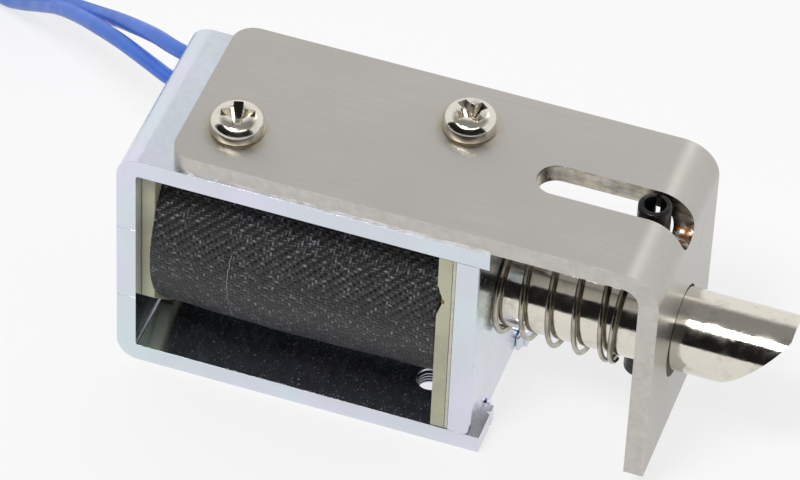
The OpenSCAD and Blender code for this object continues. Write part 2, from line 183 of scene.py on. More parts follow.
class Finish:
    """A material under construction: one Principled shader, and short calls that add nodes in front of it."""

    def __init__(self, name, colour=(0.5, 0.5, 0.5), roughness=0.5, metallic=0.0, **sockets):
        self.material = bpy.data.materials.new(name)
        self.material.use_nodes = True
        self.tree = self.material.node_tree
        self.tree.nodes.clear()
        self.output = self.node("ShaderNodeOutputMaterial")
        self.shader = self.node("ShaderNodeBsdfPrincipled")
        self.wire(self.shader.outputs["BSDF"], self.output.inputs["Surface"])
        self.shader.inputs["Base Color"].default_value = (*colour, 1)
        self.shader.inputs["Roughness"].default_value = roughness
        self.shader.inputs["Metallic"].default_value = metallic
        for socket, value in sockets.items():
            self.shader.inputs[socket.replace("_", " ").title()].default_value = value
        self.place = self.node("ShaderNodeTexCoord").outputs["Object"]

    def node(self, kind, **settings):
        made = self.tree.nodes.new(kind)
        for name, value in settings.items():
            setattr(made, name, value)
        return made

    def wire(self, source, target):
        self.tree.links.new(source, target)

    def feed(self, target, value):
        """Wires a socket to a target, or writes a plain value into it."""
        if isinstance(value, bpy.types.NodeSocket):
            self.wire(value, target)
        else:
            target.default_value = value

    def math(self, operation, a, b=0.0, c=0.0, clamp=False):
        made = self.node("ShaderNodeMath", operation=operation, use_clamp=clamp)
        for socket, value in zip(made.inputs, (a, b, c)):
            self.feed(socket, value)
        return made.outputs[0]

    def noise(self, scale, detail=2.0, roughness=0.5, place=None, distortion=0.0):
        """Noise whose grain is 1/scale metres long. scale is one number, or one for each axis."""
        stretch = self.node("ShaderNodeMapping")
        stretch.inputs["Scale"].default_value = scale if hasattr(scale, "__len__") else (scale,) * 3
        self.wire(place or self.place, stretch.inputs["Vector"])
        made = self.node("ShaderNodeTexNoise")
        self.wire(stretch.outputs["Vector"], made.inputs["Vector"])
        made.inputs["Scale"].default_value = 1.0
        made.inputs["Detail"].default_value = detail
        made.inputs["Roughness"].default_value = roughness
        made.inputs["Distortion"].default_value = distortion
        return made.outputs["Fac"]

    def grade(self, value, from_low, from_high, to_low=0.0, to_high=1.0, smooth=True):
        made = self.node("ShaderNodeMapRange", interpolation_type="SMOOTHSTEP" if smooth else "LINEAR")
        for socket, number in zip(made.inputs, (value, from_low, from_high, to_low, to_high)):
            self.feed(socket, number)
        return made.outputs["Result"]

    def blend(self, amount, a, b, mode="MIX"):
        """A colour between a and b."""
        made = self.node("ShaderNodeMix", data_type="RGBA", blend_type=mode)
        self.feed(made.inputs["Factor"], amount)
        for socket, value in zip((s for s in made.inputs if s.type == "RGBA"), (a, b)):
            self.feed(socket, value if isinstance(value, bpy.types.NodeSocket) else (*value, 1))
        return next(s for s in made.outputs if s.type == "RGBA")

    def axis(self, name):
        """One coordinate of the surface point, in metres."""
        made = self.node("ShaderNodeSeparateXYZ")
        self.wire(self.place, made.inputs[0])
        return made.outputs[name]

    def colour(self, value):
        self.wire(value, self.shader.inputs["Base Color"])

    def roughness(self, value):
        self.wire(value, self.shader.inputs["Roughness"])

    def bump(self, height, depth, strength=1.0):
        """Raises the surface by height times depth metres, on top of any bump made before."""
        made = self.node("ShaderNodeBump")
        made.inputs["Strength"].default_value = strength
        made.inputs["Distance"].default_value = depth
        self.wire(height, made.inputs["Height"])
        before = self.shader.inputs["Normal"]
        if before.is_linked:
            self.wire(before.links[0].from_socket, made.inputs["Normal"])
        self.wire(made.outputs["Normal"], before)


    def distance_to_upright(self, x, y):
        """Distance of the surface point from a vertical line."""
        offsets = (self.math("SUBTRACT", self.axis(name), place) for name, place in (("X", x), ("Y", y)))
        across, along = (self.math("POWER", self.math("ABSOLUTE", offset), 2) for offset in offsets)
        return self.math("SQRT", self.math("ADD", across, along))

    def random(self, a, b):
        """A random number for each pair of whole numbers."""
        pair = self.node("ShaderNodeCombineXYZ")
        self.feed(pair.inputs["X"], a)
        self.feed(pair.inputs["Y"], b)
        made = self.node("ShaderNodeTexWhiteNoise", noise_dimensions="2D")
        self.wire(pair.outputs[0], made.inputs["Vector"])
        return made.outputs["Value"]

    def grain_along(self, uv_map):
        """Turns the anisotropic highlight so that the grain follows a UV map's U."""
        made = self.node("ShaderNodeTangent", direction_type="UV_MAP", uv_map=uv_map)
        self.wire(made.outputs[0], self.shader.inputs["Tangent"])


def shade(colour, factor):
    return tuple(min(1.0, c * factor) for c in colour)


def zinc_finish(name="zinc_plating"):
    """Bright zinc: cool and faintly clouded, with a hint of colour and fine bright specks."""
    base = colours().zinc
    made = Finish(name, base, 0.2, 1.0)
    cloud = made.grade(made.noise(130, 3), 0.35, 0.65)
    green = (base[0] * 0.94, base[1] * 1.02, base[2] * 0.98)
    violet = (base[0] * 1.02, base[1] * 0.97, base[2] * 1.04)
    tint = made.blend(made.grade(made.noise(75, 2), 0.38, 0.62), green, violet)
    made.colour(made.blend(cloud, tint, shade(base, 0.95)))
    specks = made.grade(made.noise(5200, 1), 0.70, 0.76)
    gloss = made.grade(made.noise(1500, 3), 0.3, 0.7, 0.15, 0.24)
    made.roughness(made.math("MULTIPLY_ADD", specks, 0.5, gloss))
    made.bump(made.noise(3200, 2), 0.004 * MM, 0.4)
    made.bump(made.noise(260, 2), 0.02 * MM, 0.3)
    return made.material


def stainless_finish(screws, name="brushed_stainless"):
    """Brushed stainless steel. Its UV map "grain" runs along the strip, in millimetres, so that the brushing
    follows the bend. Handling has left a faint yellow stain round the screws."""
    base = colours().stainless
    made = Finish(name, base, 0.34, 1.0, anisotropic=0.7)
    made.grain_along("grain")
    uv = made.node("ShaderNodeUVMap", uv_map="grain").outputs["UV"]
    broad = made.noise((0.05, 2.2, 1), 3, 0.6, place=uv)
    fine = made.noise((0.16, 13, 1), 4, 0.7, place=uv)
    grain = made.math("MULTIPLY_ADD", fine, 0.75, made.math("MULTIPLY", broad, 0.25))
    brushed = made.blend(made.grade(grain, 0.36, 0.64), shade(base, 0.93), shade(base, 1.06))
    cloud = made.blend(made.grade(made.noise(90, 3), 0.35, 0.65), brushed, shade(base, 0.96))
    pits = made.grade(made.noise(4200, 1), 0.73, 0.78)
    aged = made.blend(made.math("MULTIPLY", pits, 0.5), cloud, shade(base, 0.6))
    near = made.math("MINIMUM", *(made.distance_to_upright(x, y) for x, y in screws))
    ragged = made.math("MULTIPLY_ADD", made.noise(1100, 3), 1.8 * MM, near)
    ring = made.grade(ragged, 3.4 * MM, 4.7 * MM, 0.55, 0.0)
    stain = made.math("MULTIPLY", ring, made.grade(made.noise(500, 3), 0.3, 0.6))
    made.colour(made.blend(stain, aged, (base[0] * 0.86, base[1] * 0.76, base[2] * 0.45)))
    made.roughness(made.grade(fine, 0.3, 0.7, 0.28, 0.42))
    made.bump(grain, 0.006 * MM, 0.5)
    return made.material


def sheared_and_painted_light_finish(name="sheared_edge_painted_light"):
    """The cut edges of the bracket's sheet: duller than its brushed faces, and lighter by painted light, which
    stands in for the light that the edges catch.
    """
    # painted light: the base is the stainless made 1.22 times lighter, for edges that catch the light
    base = shade(colours().stainless, 1.22)
    made = Finish(name, base, 0.5, 1.0)
    made.colour(made.blend(made.grade(made.noise(500, 4), 0.35, 0.65), base, shade(base, 0.93)))
    made.roughness(made.grade(made.noise(1600, 3), 0.3, 0.7, 0.42, 0.58))
    made.bump(made.noise(1500, 3), 0.008 * MM, 0.5)
    return made.material


def slot_wall_finish(name="punched_wall"):
    """The walls of the bracket's slot: smeared by the punch, oily, and rusty at the lower end."""
    base = colours().stainless
    made = Finish(name, base, 0.3, 1.0)
    smear = made.blend(made.grade(made.noise((300, 300, 1500), 4, 0.7), 0.35, 0.65), shade(base, 0.62),
                       (base[0] * 1.05, base[1] * 1.0, base[2] * 0.86))
    low_end = made.grade(made.axis("Z"), BRACKET_TOP - 3.4 * MM, BRACKET_TOP - 2.6 * MM, 1.0, 0.0)
    patches = made.grade(made.noise(1700, 3), 0.42, 0.56)
    made.colour(made.blend(made.math("MULTIPLY", low_end, patches), smear, (0.16, 0.065, 0.02)))
    made.roughness(made.grade(made.noise(1200, 3), 0.3, 0.7, 0.2, 0.5))
    made.bump(made.noise(1100, 4, 0.7), 0.08 * MM, 0.7)
    return made.material


def nickel_finish(name, roughness=0.12):
    """Nickel plating over turned steel: warm and polished, with an uneven gloss and light wear."""
    base = colours().nickel
    made = Finish(name, base, roughness, 1.0)
    wear = made.grade(made.noise(420, 4, 0.6), 0.50, 0.75)
    made.colour(made.blend(wear, base, shade(base, 0.72)))
    made.roughness(made.grade(made.noise(800, 4), 0.35, 0.75, roughness * 0.7, roughness * 2.0))
    made.bump(made.noise(1000, 4, 0.65), 0.030 * MM, 0.45)
    made.bump(made.noise(260, 2), 0.05 * MM, 0.3)
    return made.material


def spring_finish():
    base = colours().spring
    made = Finish("drawn_wire", base, 0.16, 1.0)
    made.colour(made.blend(made.grade(made.noise(600, 3), 0.4, 0.65), base, shade(base, 0.7)))
    made.roughness(made.grade(made.noise(2500, 2), 0.3, 0.7, 0.12, 0.24))
    made.bump(made.noise(4000, 2), 0.004 * MM, 0.3)
    return made.material


def black_oxide_finish():
    made = Finish("black_oxide", (0.022, 0.021, 0.020), 0.34, 0.7)
    made.roughness(made.grade(made.noise(1800, 3), 0.35, 0.7, 0.25, 0.5))
    wear = made.grade(made.noise(900, 3), 0.55, 0.8)
    made.colour(made.blend(wear, (0.022, 0.021, 0.020), (0.09, 0.085, 0.08)))
    made.bump(made.noise(3000, 3), 0.02 * MM, 0.4)
    return made.material


def nylon_finish(name="bobbin_nylon"):
    base = colours().bobbin
    made = Finish(name, base, 0.42)
    made.colour(made.blend(made.grade(made.noise(220, 3), 0.35, 0.7), base, shade(base, 0.80)))
    made.roughness(made.grade(made.noise(900, 3), 0.3, 0.7, 0.34, 0.52))
    made.bump(made.noise(1400, 3), 0.02 * MM, 0.5)
    return made.material


def plain_finish(name, colour, roughness, metallic=0.0, mottle=0.85, grain=900, depth=0.01 * MM):
    """A simple surface with some mottling, a little uneven gloss and a fine texture."""
    made = Finish(name, colour, roughness, metallic)
    made.colour(made.blend(made.grade(made.noise(grain, 3), 0.35, 0.7), colour, shade(colour, mottle)))
    made.roughness(made.grade(made.noise(grain * 1.7, 2), 0.3, 0.7, roughness * 0.85, roughness * 1.2))
    made.bump(made.noise(grain * 3, 2), depth, 0.4)
    return made.material


def cloth_finish():
    """Black twill tape. U and V count threads round and along the coil. Its colour carries painted shade in the
    hollows between the threads, and painted glints on some floats.
    """
    base = colours().cloth
    made = Finish("cloth_tape", base, 0.4)
    made.shader.inputs["Sheen Weight"].default_value = 0.03
    made.shader.inputs["Sheen Roughness"].default_value = 0.4
    split = made.node("ShaderNodeSeparateXYZ")
    made.wire(made.node("ShaderNodeUVMap", uv_map="threads").outputs["UV"], split.inputs[0])
    wobble = made.math("MULTIPLY", made.math("SUBTRACT", made.noise(420, 3), 0.5), 1.5)
    u = made.math("ADD", split.outputs["X"], wobble)
    v = made.math("SUBTRACT", split.outputs["Y"], wobble)

    def floats(across, along, start):
        """A row of threads side by side in across. Each floats over two of every three that it crosses, one
        further on in the next row. Gives its height, and a random number for each float."""
        round_top = made.math("ABSOLUTE", made.math("COSINE", made.math("MULTIPLY", across, math.pi)))
        row = made.math("FLOOR", made.math("ADD", across, 0.5))
        step = made.math("DIVIDE", made.math("ADD", made.math("ADD", along, row), start), 3.0)
        wave = made.math("COSINE", made.math("MULTIPLY", step, 2 * math.pi))
        rise = made.math("MULTIPLY_ADD", wave, 0.5, 0.5)
        height = made.math("MULTIPLY", made.math("POWER", round_top, 0.7), made.math("POWER", rise, 0.7))
        return height, made.random(row, made.math("FLOOR", made.math("ADD", step, 0.5)))

    high_a, chance_a = floats(u, v, 0.0)
    high_b, chance_b = floats(v, u, 1.5)
    weave = made.math("MAXIMUM", high_a, high_b)
    # painted shade: the colour is darker in the hollows between the threads and lighter on their tops
    made.colour(made.blend(made.grade(weave, 0.35, 1.0), shade(base, 0.15), shade(base, 1.8)))
    body = made.material.node_tree.nodes[-1].outputs
    cloth = next(s for s in body if s.type == "RGBA")
    # painted glints: a light grey colour on the tops of some random floats, standing in for highlights
    painted_glints = (made.math("MULTIPLY", made.math("POWER", high, 4), made.math("POWER", chance, 5))
              for high, chance in ((high_a, chance_a), (high_b, chance_b)))
    painted_glint = made.math("MAXIMUM", *painted_glints)
    made.colour(made.blend(painted_glint, cloth, (0.30, 0.30, 0.33)))
    made.roughness(made.grade(made.noise(2500, 3), 0.3, 0.7, 0.25, 0.5))
    made.bump(weave, 0.10 * MM, 1.0)
    made.bump(made.noise(9000, 2), 0.015 * MM, 0.5)
    return made.material


def lead_finish():
    base = colours().lead
    made = Finish("lead_insulation", base, 0.34)
    made.colour(made.blend(made.grade(made.noise(260, 3), 0.35, 0.7), base, shade(base, 0.86)))
    made.roughness(made.grade(made.noise(700, 3), 0.3, 0.7, 0.28, 0.46))
    made.bump(made.noise(900, 3), 0.03 * MM, 0.4)
    return made.material


# ---------------------------------------------------------------- mesh tools


def arc(centre, radius, start, end, steps):
    """Points on an arc, with both ends, from start to end degrees."""
    turns = [math.radians(start + (end - start) * i / steps) for i in range(steps + 1)]
    return [(centre[0] + radius * math.cos(a), centre[1] + radius * math.sin(a)) for a in turns]


def rectangle(x0, x1, y0, y1):
    return [(x0, y0), (x1, y0), (x1, y1), (x0, y1)]


def prism(outline, start, end, place=None):
    """A closed outline in X and Y, drawn out from z = start to z = end, then moved by a matrix."""
    bm = bmesh.new()
    rings = [[bm.verts.new((x, y, z)) for x, y in outline] for z in (start, end)]
    bm.faces.new(list(reversed(rings[0])))
    bm.faces.new(rings[1])
    count = len(outline)
    for i in range(count):
        j = (i + 1) % count
        bm.faces.new((rings[0][i], rings[0][j], rings[1][j], rings[1][i]))
    if place:
        bm.transform(place)
    bmesh.ops.recalc_face_normals(bm, faces=bm.faces)
    return bm


def drum(radius, start, end, place, steps=96, far_radius=None):
    """A plain round solid along the local Z, straight or tapered, used as a cutter or a blank."""
    bm = bmesh.new()
    radii = (radius, radius if far_radius is None else far_radius)
    rings = [[bm.verts.new((x, y, z)) for x, y in arc((0, 0), r, 0, 360, steps)[:-1]]
             for r, z in zip(radii, (start, end))]
    bm.faces.new(list(reversed(rings[0])))
    bm.faces.new(rings[1])
    for i in range(steps):
        j = (i + 1) % steps
        bm.faces.new((rings[0][i], rings[0][j], rings[1][j], rings[1][i]))
    bm.transform(place)
    bmesh.ops.recalc_face_normals(bm, faces=bm.faces)
    return bm


def on_axis(x=0.0, drop=0.0):
    """A matrix that lays a local Z along +X on the plunger's axis, starting at x."""
    return Matrix.Translation((x, 0, AXIS_Z - drop)) @ FACING_X


def lathe(profile, place, steps=96, closed=False):
    """Turns (radius, height) points about the local Z. A closed profile makes a ring with a hole."""
    bm = bmesh.new()
    rings = []
    for radius, height in profile:
        if radius == 0:
            rings.append([bm.verts.new((0, 0, height))])
        else:
            rings.append([bm.verts.new((x, y, height)) for x, y in arc((0, 0), radius, 0, 360, steps)[:-1]])
    pairs = list(zip(rings, rings[1:] + rings[:1] if closed else rings[1:]))
    for a, b in pairs:
        for i in range(steps):
            j = (i + 1) % steps
            corners = [a[i % len(a)], a[j % len(a)], b[j % len(b)], b[i % len(b)]]
            bm.faces.new(list(dict.fromkeys(corners)))
    bm.transform(place)
    bmesh.ops.recalc_face_normals(bm, faces=bm.faces)
    return bm


def sweep(path, radius, sides=12, closed_ends=True):
    """A round wire along a path, its rings carried along without twist. radius is a number or one per point."""
    bm = bmesh.new()
    points = [Vector(p) for p in path]
    radii = radius if hasattr(radius, "__len__") else [radius] * len(points)
    last = len(points) - 1
    ahead = [(points[min(i + 1, last)] - points[max(i - 1, 0)]).normalized() for i in range(len(points))]
    side = ahead[0].orthogonal().normalized()
    rings = []
    for point, direction, r in zip(points, ahead, radii):
        side = (side - direction * side.dot(direction)).normalized()
        rise = direction.cross(side)
        rings.append([bm.verts.new(point + r * (math.cos(a) * side + math.sin(a) * rise))
                      for a in (2 * math.pi * k / sides for k in range(sides))])
    for a, b in zip(rings, rings[1:]):
        for k in range(sides):
            j = (k + 1) % sides
            bm.faces.new((a[k], a[j], b[j], b[k]))
    if closed_ends:
        bm.faces.new(list(reversed(rings[0])))
        bm.faces.new(rings[-1])
    bmesh.ops.recalc_face_normals(bm, faces=bm.faces)
    return bm


def joined(*parts):
    """One bmesh that holds several, with nothing merged."""
    whole = bmesh.new()
    for part in parts:
        mesh = bpy.data.meshes.new("part")
        part.to_mesh(mesh)
        part.free()
        whole.from_mesh(mesh)
        bpy.data.meshes.remove(mesh)
    return whole


def loose_object(bm):
    mesh = bpy.data.meshes.new("blank")
    bm.to_mesh(mesh)
    bm.free()
    made = bpy.data.objects.new("blank", mesh)
    bpy.context.scene.collection.objects.link(made)
    return made


def carve(blank, *tools, operation="DIFFERENCE"):
    """Takes the tools out of a blank, or joins or intersects them with it, and returns the clean result."""
    body = loose_object(blank)
    others = [loose_object(tool) for tool in tools]
    for other in others:
        step = body.modifiers.new("carve", "BOOLEAN")
        step.object = other
        step.operation = operation
        step.solver = "EXACT"
    mesh = bpy.data.meshes.new_from_object(body.evaluated_get(bpy.context.evaluated_depsgraph_get()))
    made = bmesh.new()
    made.from_mesh(mesh)
    for spent in (body, *others):
        data = spent.data
        bpy.data.objects.remove(spent)
        bpy.data.meshes.remove(data)
    bpy.data.meshes.remove(mesh)
    if not made.faces:
        raise RuntimeError("a boolean left nothing")
    bmesh.ops.remove_doubles(made, verts=made.verts, dist=0.0005 * MM)
    bmesh.ops.dissolve_degenerate(made, edges=made.edges, dist=0.0005 * MM)
    bmesh.ops.dissolve_limit(made, angle_limit=math.radians(0.4), verts=made.verts, edges=made.edges)
    return made


def soften(bm, width, where=None, segments=3, sharp=28):
    """Rounds the edges that turn by more than sharp degrees, or those of them that where accepts."""
    bm.normal_update()
    edges = [e for e in bm.edges if len(e.link_faces) == 2
             and e.calc_face_angle(0) > math.radians(sharp) and (where is None or where(e))]
    bmesh.ops.bevel(bm, geom=edges, offset=width, offset_type="OFFSET", segments=segments, profile=0.5,
                    affect="EDGES", clamp_overlap=True, miter_outer="ARC")
    return bm


def piece(name, bm, material, body="frame", nodes=(), sharp=40, weighted=True):
    """Makes a piece that rides on a body, takes its finish from a slot and stands for some CAD nodes."""
    mesh = bpy.data.meshes.new(name)
    bm.to_mesh(mesh)
    bm.free()
    mesh.materials.append(material)
    for polygon in mesh.polygons:
        polygon.use_smooth = True
    mesh.set_sharp_from_angle(angle=math.radians(sharp))
    made = bpy.data.objects.new(name, mesh)
    bpy.context.scene.collection.objects.link(made)
    if weighted:
        even = made.modifiers.new("even_normals", "WEIGHTED_NORMAL")
        even.keep_sharp = True
    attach(made, body)
    if nodes:
        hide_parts(*nodes)
    return made


def mark(made, material, chosen):
    """Gives a second material to the faces that chosen accepts, by their middle and normal."""
    made.data.materials.append(material)
    index = len(made.data.materials) - 1
    for polygon in made.data.polygons:
        if chosen(polygon.center, polygon.normal):
            polygon.material_index = index


# ---------------------------------------------------------------- the frame and what it holds


def strip_outline():
    """The frame strip seen from the front: a C that is open towards the end plate."""
    inner, outer = FRAME_BEND_R, FRAME_BEND_R + SHEET
    out_x, in_x = WALL_OUT + outer, WALL_OUT + SHEET + inner
    return [
        (LEAF_END, 0),
        *arc((out_x, outer), outer, 270, 180, 12),
        *arc((out_x, FRAME_TOP - outer), outer, 180, 90, 12),
        (LEAF_END, FRAME_TOP), (LEAF_END, FRAME_TOP - SHEET),
        *arc((in_x, FRAME_TOP - SHEET - inner), inner, 90, 180, 6),
        *arc((in_x, SHEET + inner), inner, 180, 270, 6),
        (LEAF_END, SHEET),
    ]


def leaf_holes(x_near, x_far, way):
    """Centres of the two holes in one leaf. way is 1 for the lower leaf and -1 for the upper."""
    return [(x_near, way * HOLE_SIDE), (x_far, -way * HOLE_SIDE)]


def thread(centre, z0, z1, outside, inside, pitch):
    """A helical ridge inside a tapped hole, between z0 and z1."""
    steps = 48
    count = int((z1 - z0) / pitch * steps)
    bm = bmesh.new()
    rings = []
    for i in range(count + 1):
        a = 2 * math.pi * i / steps
        z = z0 + (z1 - z0 - pitch) * i / count + pitch / 2
        side = Vector((math.cos(a), math.sin(a), 0))
        foot = Vector((*centre, z))
        rings.append([bm.verts.new(foot + side * r + Vector((0, 0, dz)))
                      for r, dz in ((outside, -pitch * 0.45), (inside, -pitch * 0.07), (inside, pitch * 0.07),
                                    (outside, pitch * 0.45))])
    for a, b in zip(rings, rings[1:]):
        for k in range(4):
            j = (k + 1) % 4
            bm.faces.new((a[k], a[j], b[j], b[k]))
    bm.faces.new(rings[0])
    bm.faces.new(list(reversed(rings[-1])))
    bmesh.ops.recalc_face_normals(bm, faces=bm.faces)
    return bm


def build_frame_yoke():
    zinc = zinc_finish()
    near_x, far_x = middle("screw_left").x, middle("screw_right").x
    major_r = 1.5 * MM
    blank = prism(strip_outline(), -FRAME_SIDE, FRAME_SIDE, FACING_Y)
    notch = TAB_HALF + NOTCH_GAP
    tools = [prism(rectangle(PLATE_IN - NOTCH_GAP, LEAF_END + MM, -notch, notch), -MM, FRAME_TOP + MM)]
    for z, way in ((0, 1), (FRAME_TOP - SHEET, -1)):
        for x, y in leaf_holes(near_x, far_x, way):
            tools.append(drum(major_r, z - MM, z + SHEET + MM, Matrix.Translation((x, y, 0)), 64))
    tools.append(drum(2.51 * MM, WALL_OUT - MM, WALL_OUT + 3 * MM, on_axis(), 64))
    # shallow shear marks across the front edge of the closed wall
    for z in (17.6 * MM, 8.4 * MM):
        tools.append(prism([(WALL_OUT - MM, z - 0.02 * MM), (WALL_OUT + 3 * MM, z + 0.12 * MM),
                            (WALL_OUT + 3 * MM, z + 0.18 * MM), (WALL_OUT - MM, z + 0.02 * MM)],
                           -FRAME_SIDE - MM, -FRAME_SIDE + 0.025 * MM, FACING_Y))
    # the punch that spreads the horns over the plate leaves a V across the end of each
    for side in (-1, 1):
        for z0, z1 in ((-MM, SHEET + MM), (FRAME_TOP - SHEET - MM, FRAME_TOP + MM)):
            groove = [(LEAF_END - 0.40 * MM, side * 6.45 * MM), (LEAF_END + 0.2 * MM, side * 6.95 * MM),
                      (LEAF_END + 0.2 * MM, side * 6.10 * MM)]
            tools.append(prism(groove, z0, z1))
    bm = carve(blank, *tools)
    soften(bm, sizes().sheet_edge)
    yoke = piece("frame_strip", bm, zinc, nodes=("frame_yoke",))

    # the horns' corners, pressed over the end plate
    stakes = []
    horn = LEAF_END - PLATE_OUT
    for z in (0, FRAME_TOP - SHEET):
        for side in (-1, 1):
            outline = [(x, y * side) for x, y in (
                (PLATE_OUT + 0.03 * MM, notch + 0.3 * MM), (PLATE_OUT + 0.03 * MM, notch - STAKE_W),
                (PLATE_OUT + 0.4 * horn, notch - STAKE_W), (PLATE_OUT + 0.75 * horn, notch),
                (PLATE_OUT + 0.75 * horn, notch + 0.3 * MM))]
            stakes.append(soften(prism(outline, z + 0.1 * MM, z + SHEET - 0.1 * MM), 0.14 * MM, segments=4))
    piece("staked_corners", joined(*stakes), zinc)

    threads = [thread(centre, 0, SHEET, major_r + 0.02 * MM, TAPPED_R, sizes().thread_pitch)
               for centre in leaf_holes(near_x, far_x, 1)]
    piece("base_threads", joined(*threads), zinc, weighted=False)
    return yoke


def build_end_plate():
    half = FRAME_SIDE
    outline = [
        (-half, SHEET), (-TAB_HALF, SHEET), (-TAB_HALF, 0), (TAB_HALF, 0), (TAB_HALF, SHEET), (half, SHEET),
        (half, FRAME_TOP - SHEET), (TAB_HALF, FRAME_TOP - SHEET), (TAB_HALF, FRAME_TOP),
        (-TAB_HALF, FRAME_TOP), (-TAB_HALF, FRAME_TOP - SHEET), (-half, FRAME_TOP - SHEET),
    ]
    bm = carve(prism(outline, PLATE_IN, PLATE_OUT, FACING_X),
               drum(TUBE_R + 0.4 * MM, PLATE_IN - MM, PLATE_OUT + MM, on_axis()))

    def outer_edge(edge):
        """The rim of the outer face, apart from the bore."""
        return all(v.co.x > PLATE_OUT - 0.001 * MM and math.hypot(v.co.y, v.co.z - AXIS_Z) > 6 * MM
                   for v in edge.verts)

    soften(bm, sizes().plate_edge, outer_edge, segments=5)
    soften(bm, 0.08 * MM)
    return piece("end_plate_steel", bm, zinc_finish("zinc_plate_face"),
                 nodes=("end_plate",))


def flange_outline(corner, inset=0.0, lift=0.0):
    """A bobbin flange seen along X, with its lower corners cut off."""
    y = FRAME_SIDE - inset
    z0, z1 = low("bobbin").z + lift, high("bobbin").z - lift
    return [(-y, z0 + corner), (-y + corner, z0), (y - corner, z0), (y, z0 + corner), (y, z1), (-y, z1)]


def build_bobbin():
    nylon = nylon_finish()
    x0, x1 = low("bobbin").x, high("bobbin").x
    flange = 1.4 * MM
    bore = TUBE_R + 0.4 * MM
    left = prism(flange_outline(5.2 * MM, 1.6 * MM, 0.2 * MM), x0, x0 + flange, FACING_X)
    right = prism(flange_outline(0.05 * MM), x1 - flange, x1, FACING_X)
    holes = [drum(bore, x0 - MM, x1 + MM, on_axis(), 64) for _ in range(2)]
    # the worn notch in the front edge of the plate-side flange
    notch = prism([(x1 - flange - MM, 17.0 * MM), (x1 - flange - 0.02 * MM, 17.2 * MM),
                   *[(x1 - flange + (0.40 * math.sin(math.pi * t) + 0.16 * math.sin(math.pi * t) ** 6) * MM,
                      (17.2 + 4.2 * t) * MM) for t in (i / 20 for i in range(1, 20))],
                   (x1 - flange - 0.02 * MM, 21.4 * MM), (x1 - flange - MM, 21.6 * MM)],
                  -FRAME_SIDE - MM, -FRAME_SIDE + 1.5 * MM, FACING_Y)
    left = soften(carve(left, holes[0]), 0.12 * MM)
    right = soften(carve(right, holes[1], notch), 0.12 * MM)
    spool_r = bore + 0.9 * MM
    tube = lathe([(bore, x0 + flange - 0.1 * MM), (spool_r, x0 + flange - 0.1 * MM),
                  (spool_r, x1 - flange + 0.1 * MM), (bore, x1 - flange + 0.1 * MM)], on_axis(), 64,
                 closed=True)
    piece("bobbin_body", joined(left, right, tube), nylon, nodes=("bobbin",))

    paper = prism(flange_outline(0.05 * MM), x1 + 0.06 * MM, PLATE_IN - 0.01 * MM, FACING_X)
    paper = carve(paper, drum(bore, x1 - MM, PLATE_IN + MM, on_axis(), 64))
    piece("washer_sheet", paper, plain_finish("washer_paper", (0.74, 0.73, 0.62), 0.7, grain=1200),
          nodes=("paper_washer",))

    drop = bmesh.new()
    bmesh.ops.create_uvsphere(drop, u_segments=20, v_segments=12, radius=0.20 * MM)
    for v in drop.verts:
        v.co.z *= 1.3 + 0.7 * (v.co.z < 0)
        v.co.y *= 0.5
    drop.transform(Matrix.Translation((x1 - flange + 0.60 * MM, -FRAME_SIDE + 0.05 * MM, 19.3 * MM)))
    piece("varnish_drop", drop, plain_finish("varnish", (0.22, 0.12, 0.02), 0.2))


def hull_reach(points, directions):
    """How far the convex hull of some points reaches from the origin along each direction."""
    ordered = sorted(set(points))

    def half(source):
        chain = []
        for p in source:
            while len(chain) > 1 and ((chain[-1][0] - chain[-2][0]) * (p[1] - chain[-2][1])
                                      - (chain[-1][1] - chain[-2][1]) * (p[0] - chain[-2][0])) <= 0:
                chain.pop()
            chain.append(p)
        return chain[:-1]

    hull = half(ordered) + half(reversed(ordered))
    reach = []
    for dx, dy in directions:
        best = 1.0
        for (ax, ay), (bx, by) in zip(hull, hull[1:] + hull[:1]):
            # outward normal of this side, and the distance of its line along the direction
            nx, ny = by - ay, ax - bx
            along = nx * dx + ny * dy
            if along > 1e-12:
                best = min(best, (nx * ax + ny * ay) / along)
        reach.append(best)
    return reach


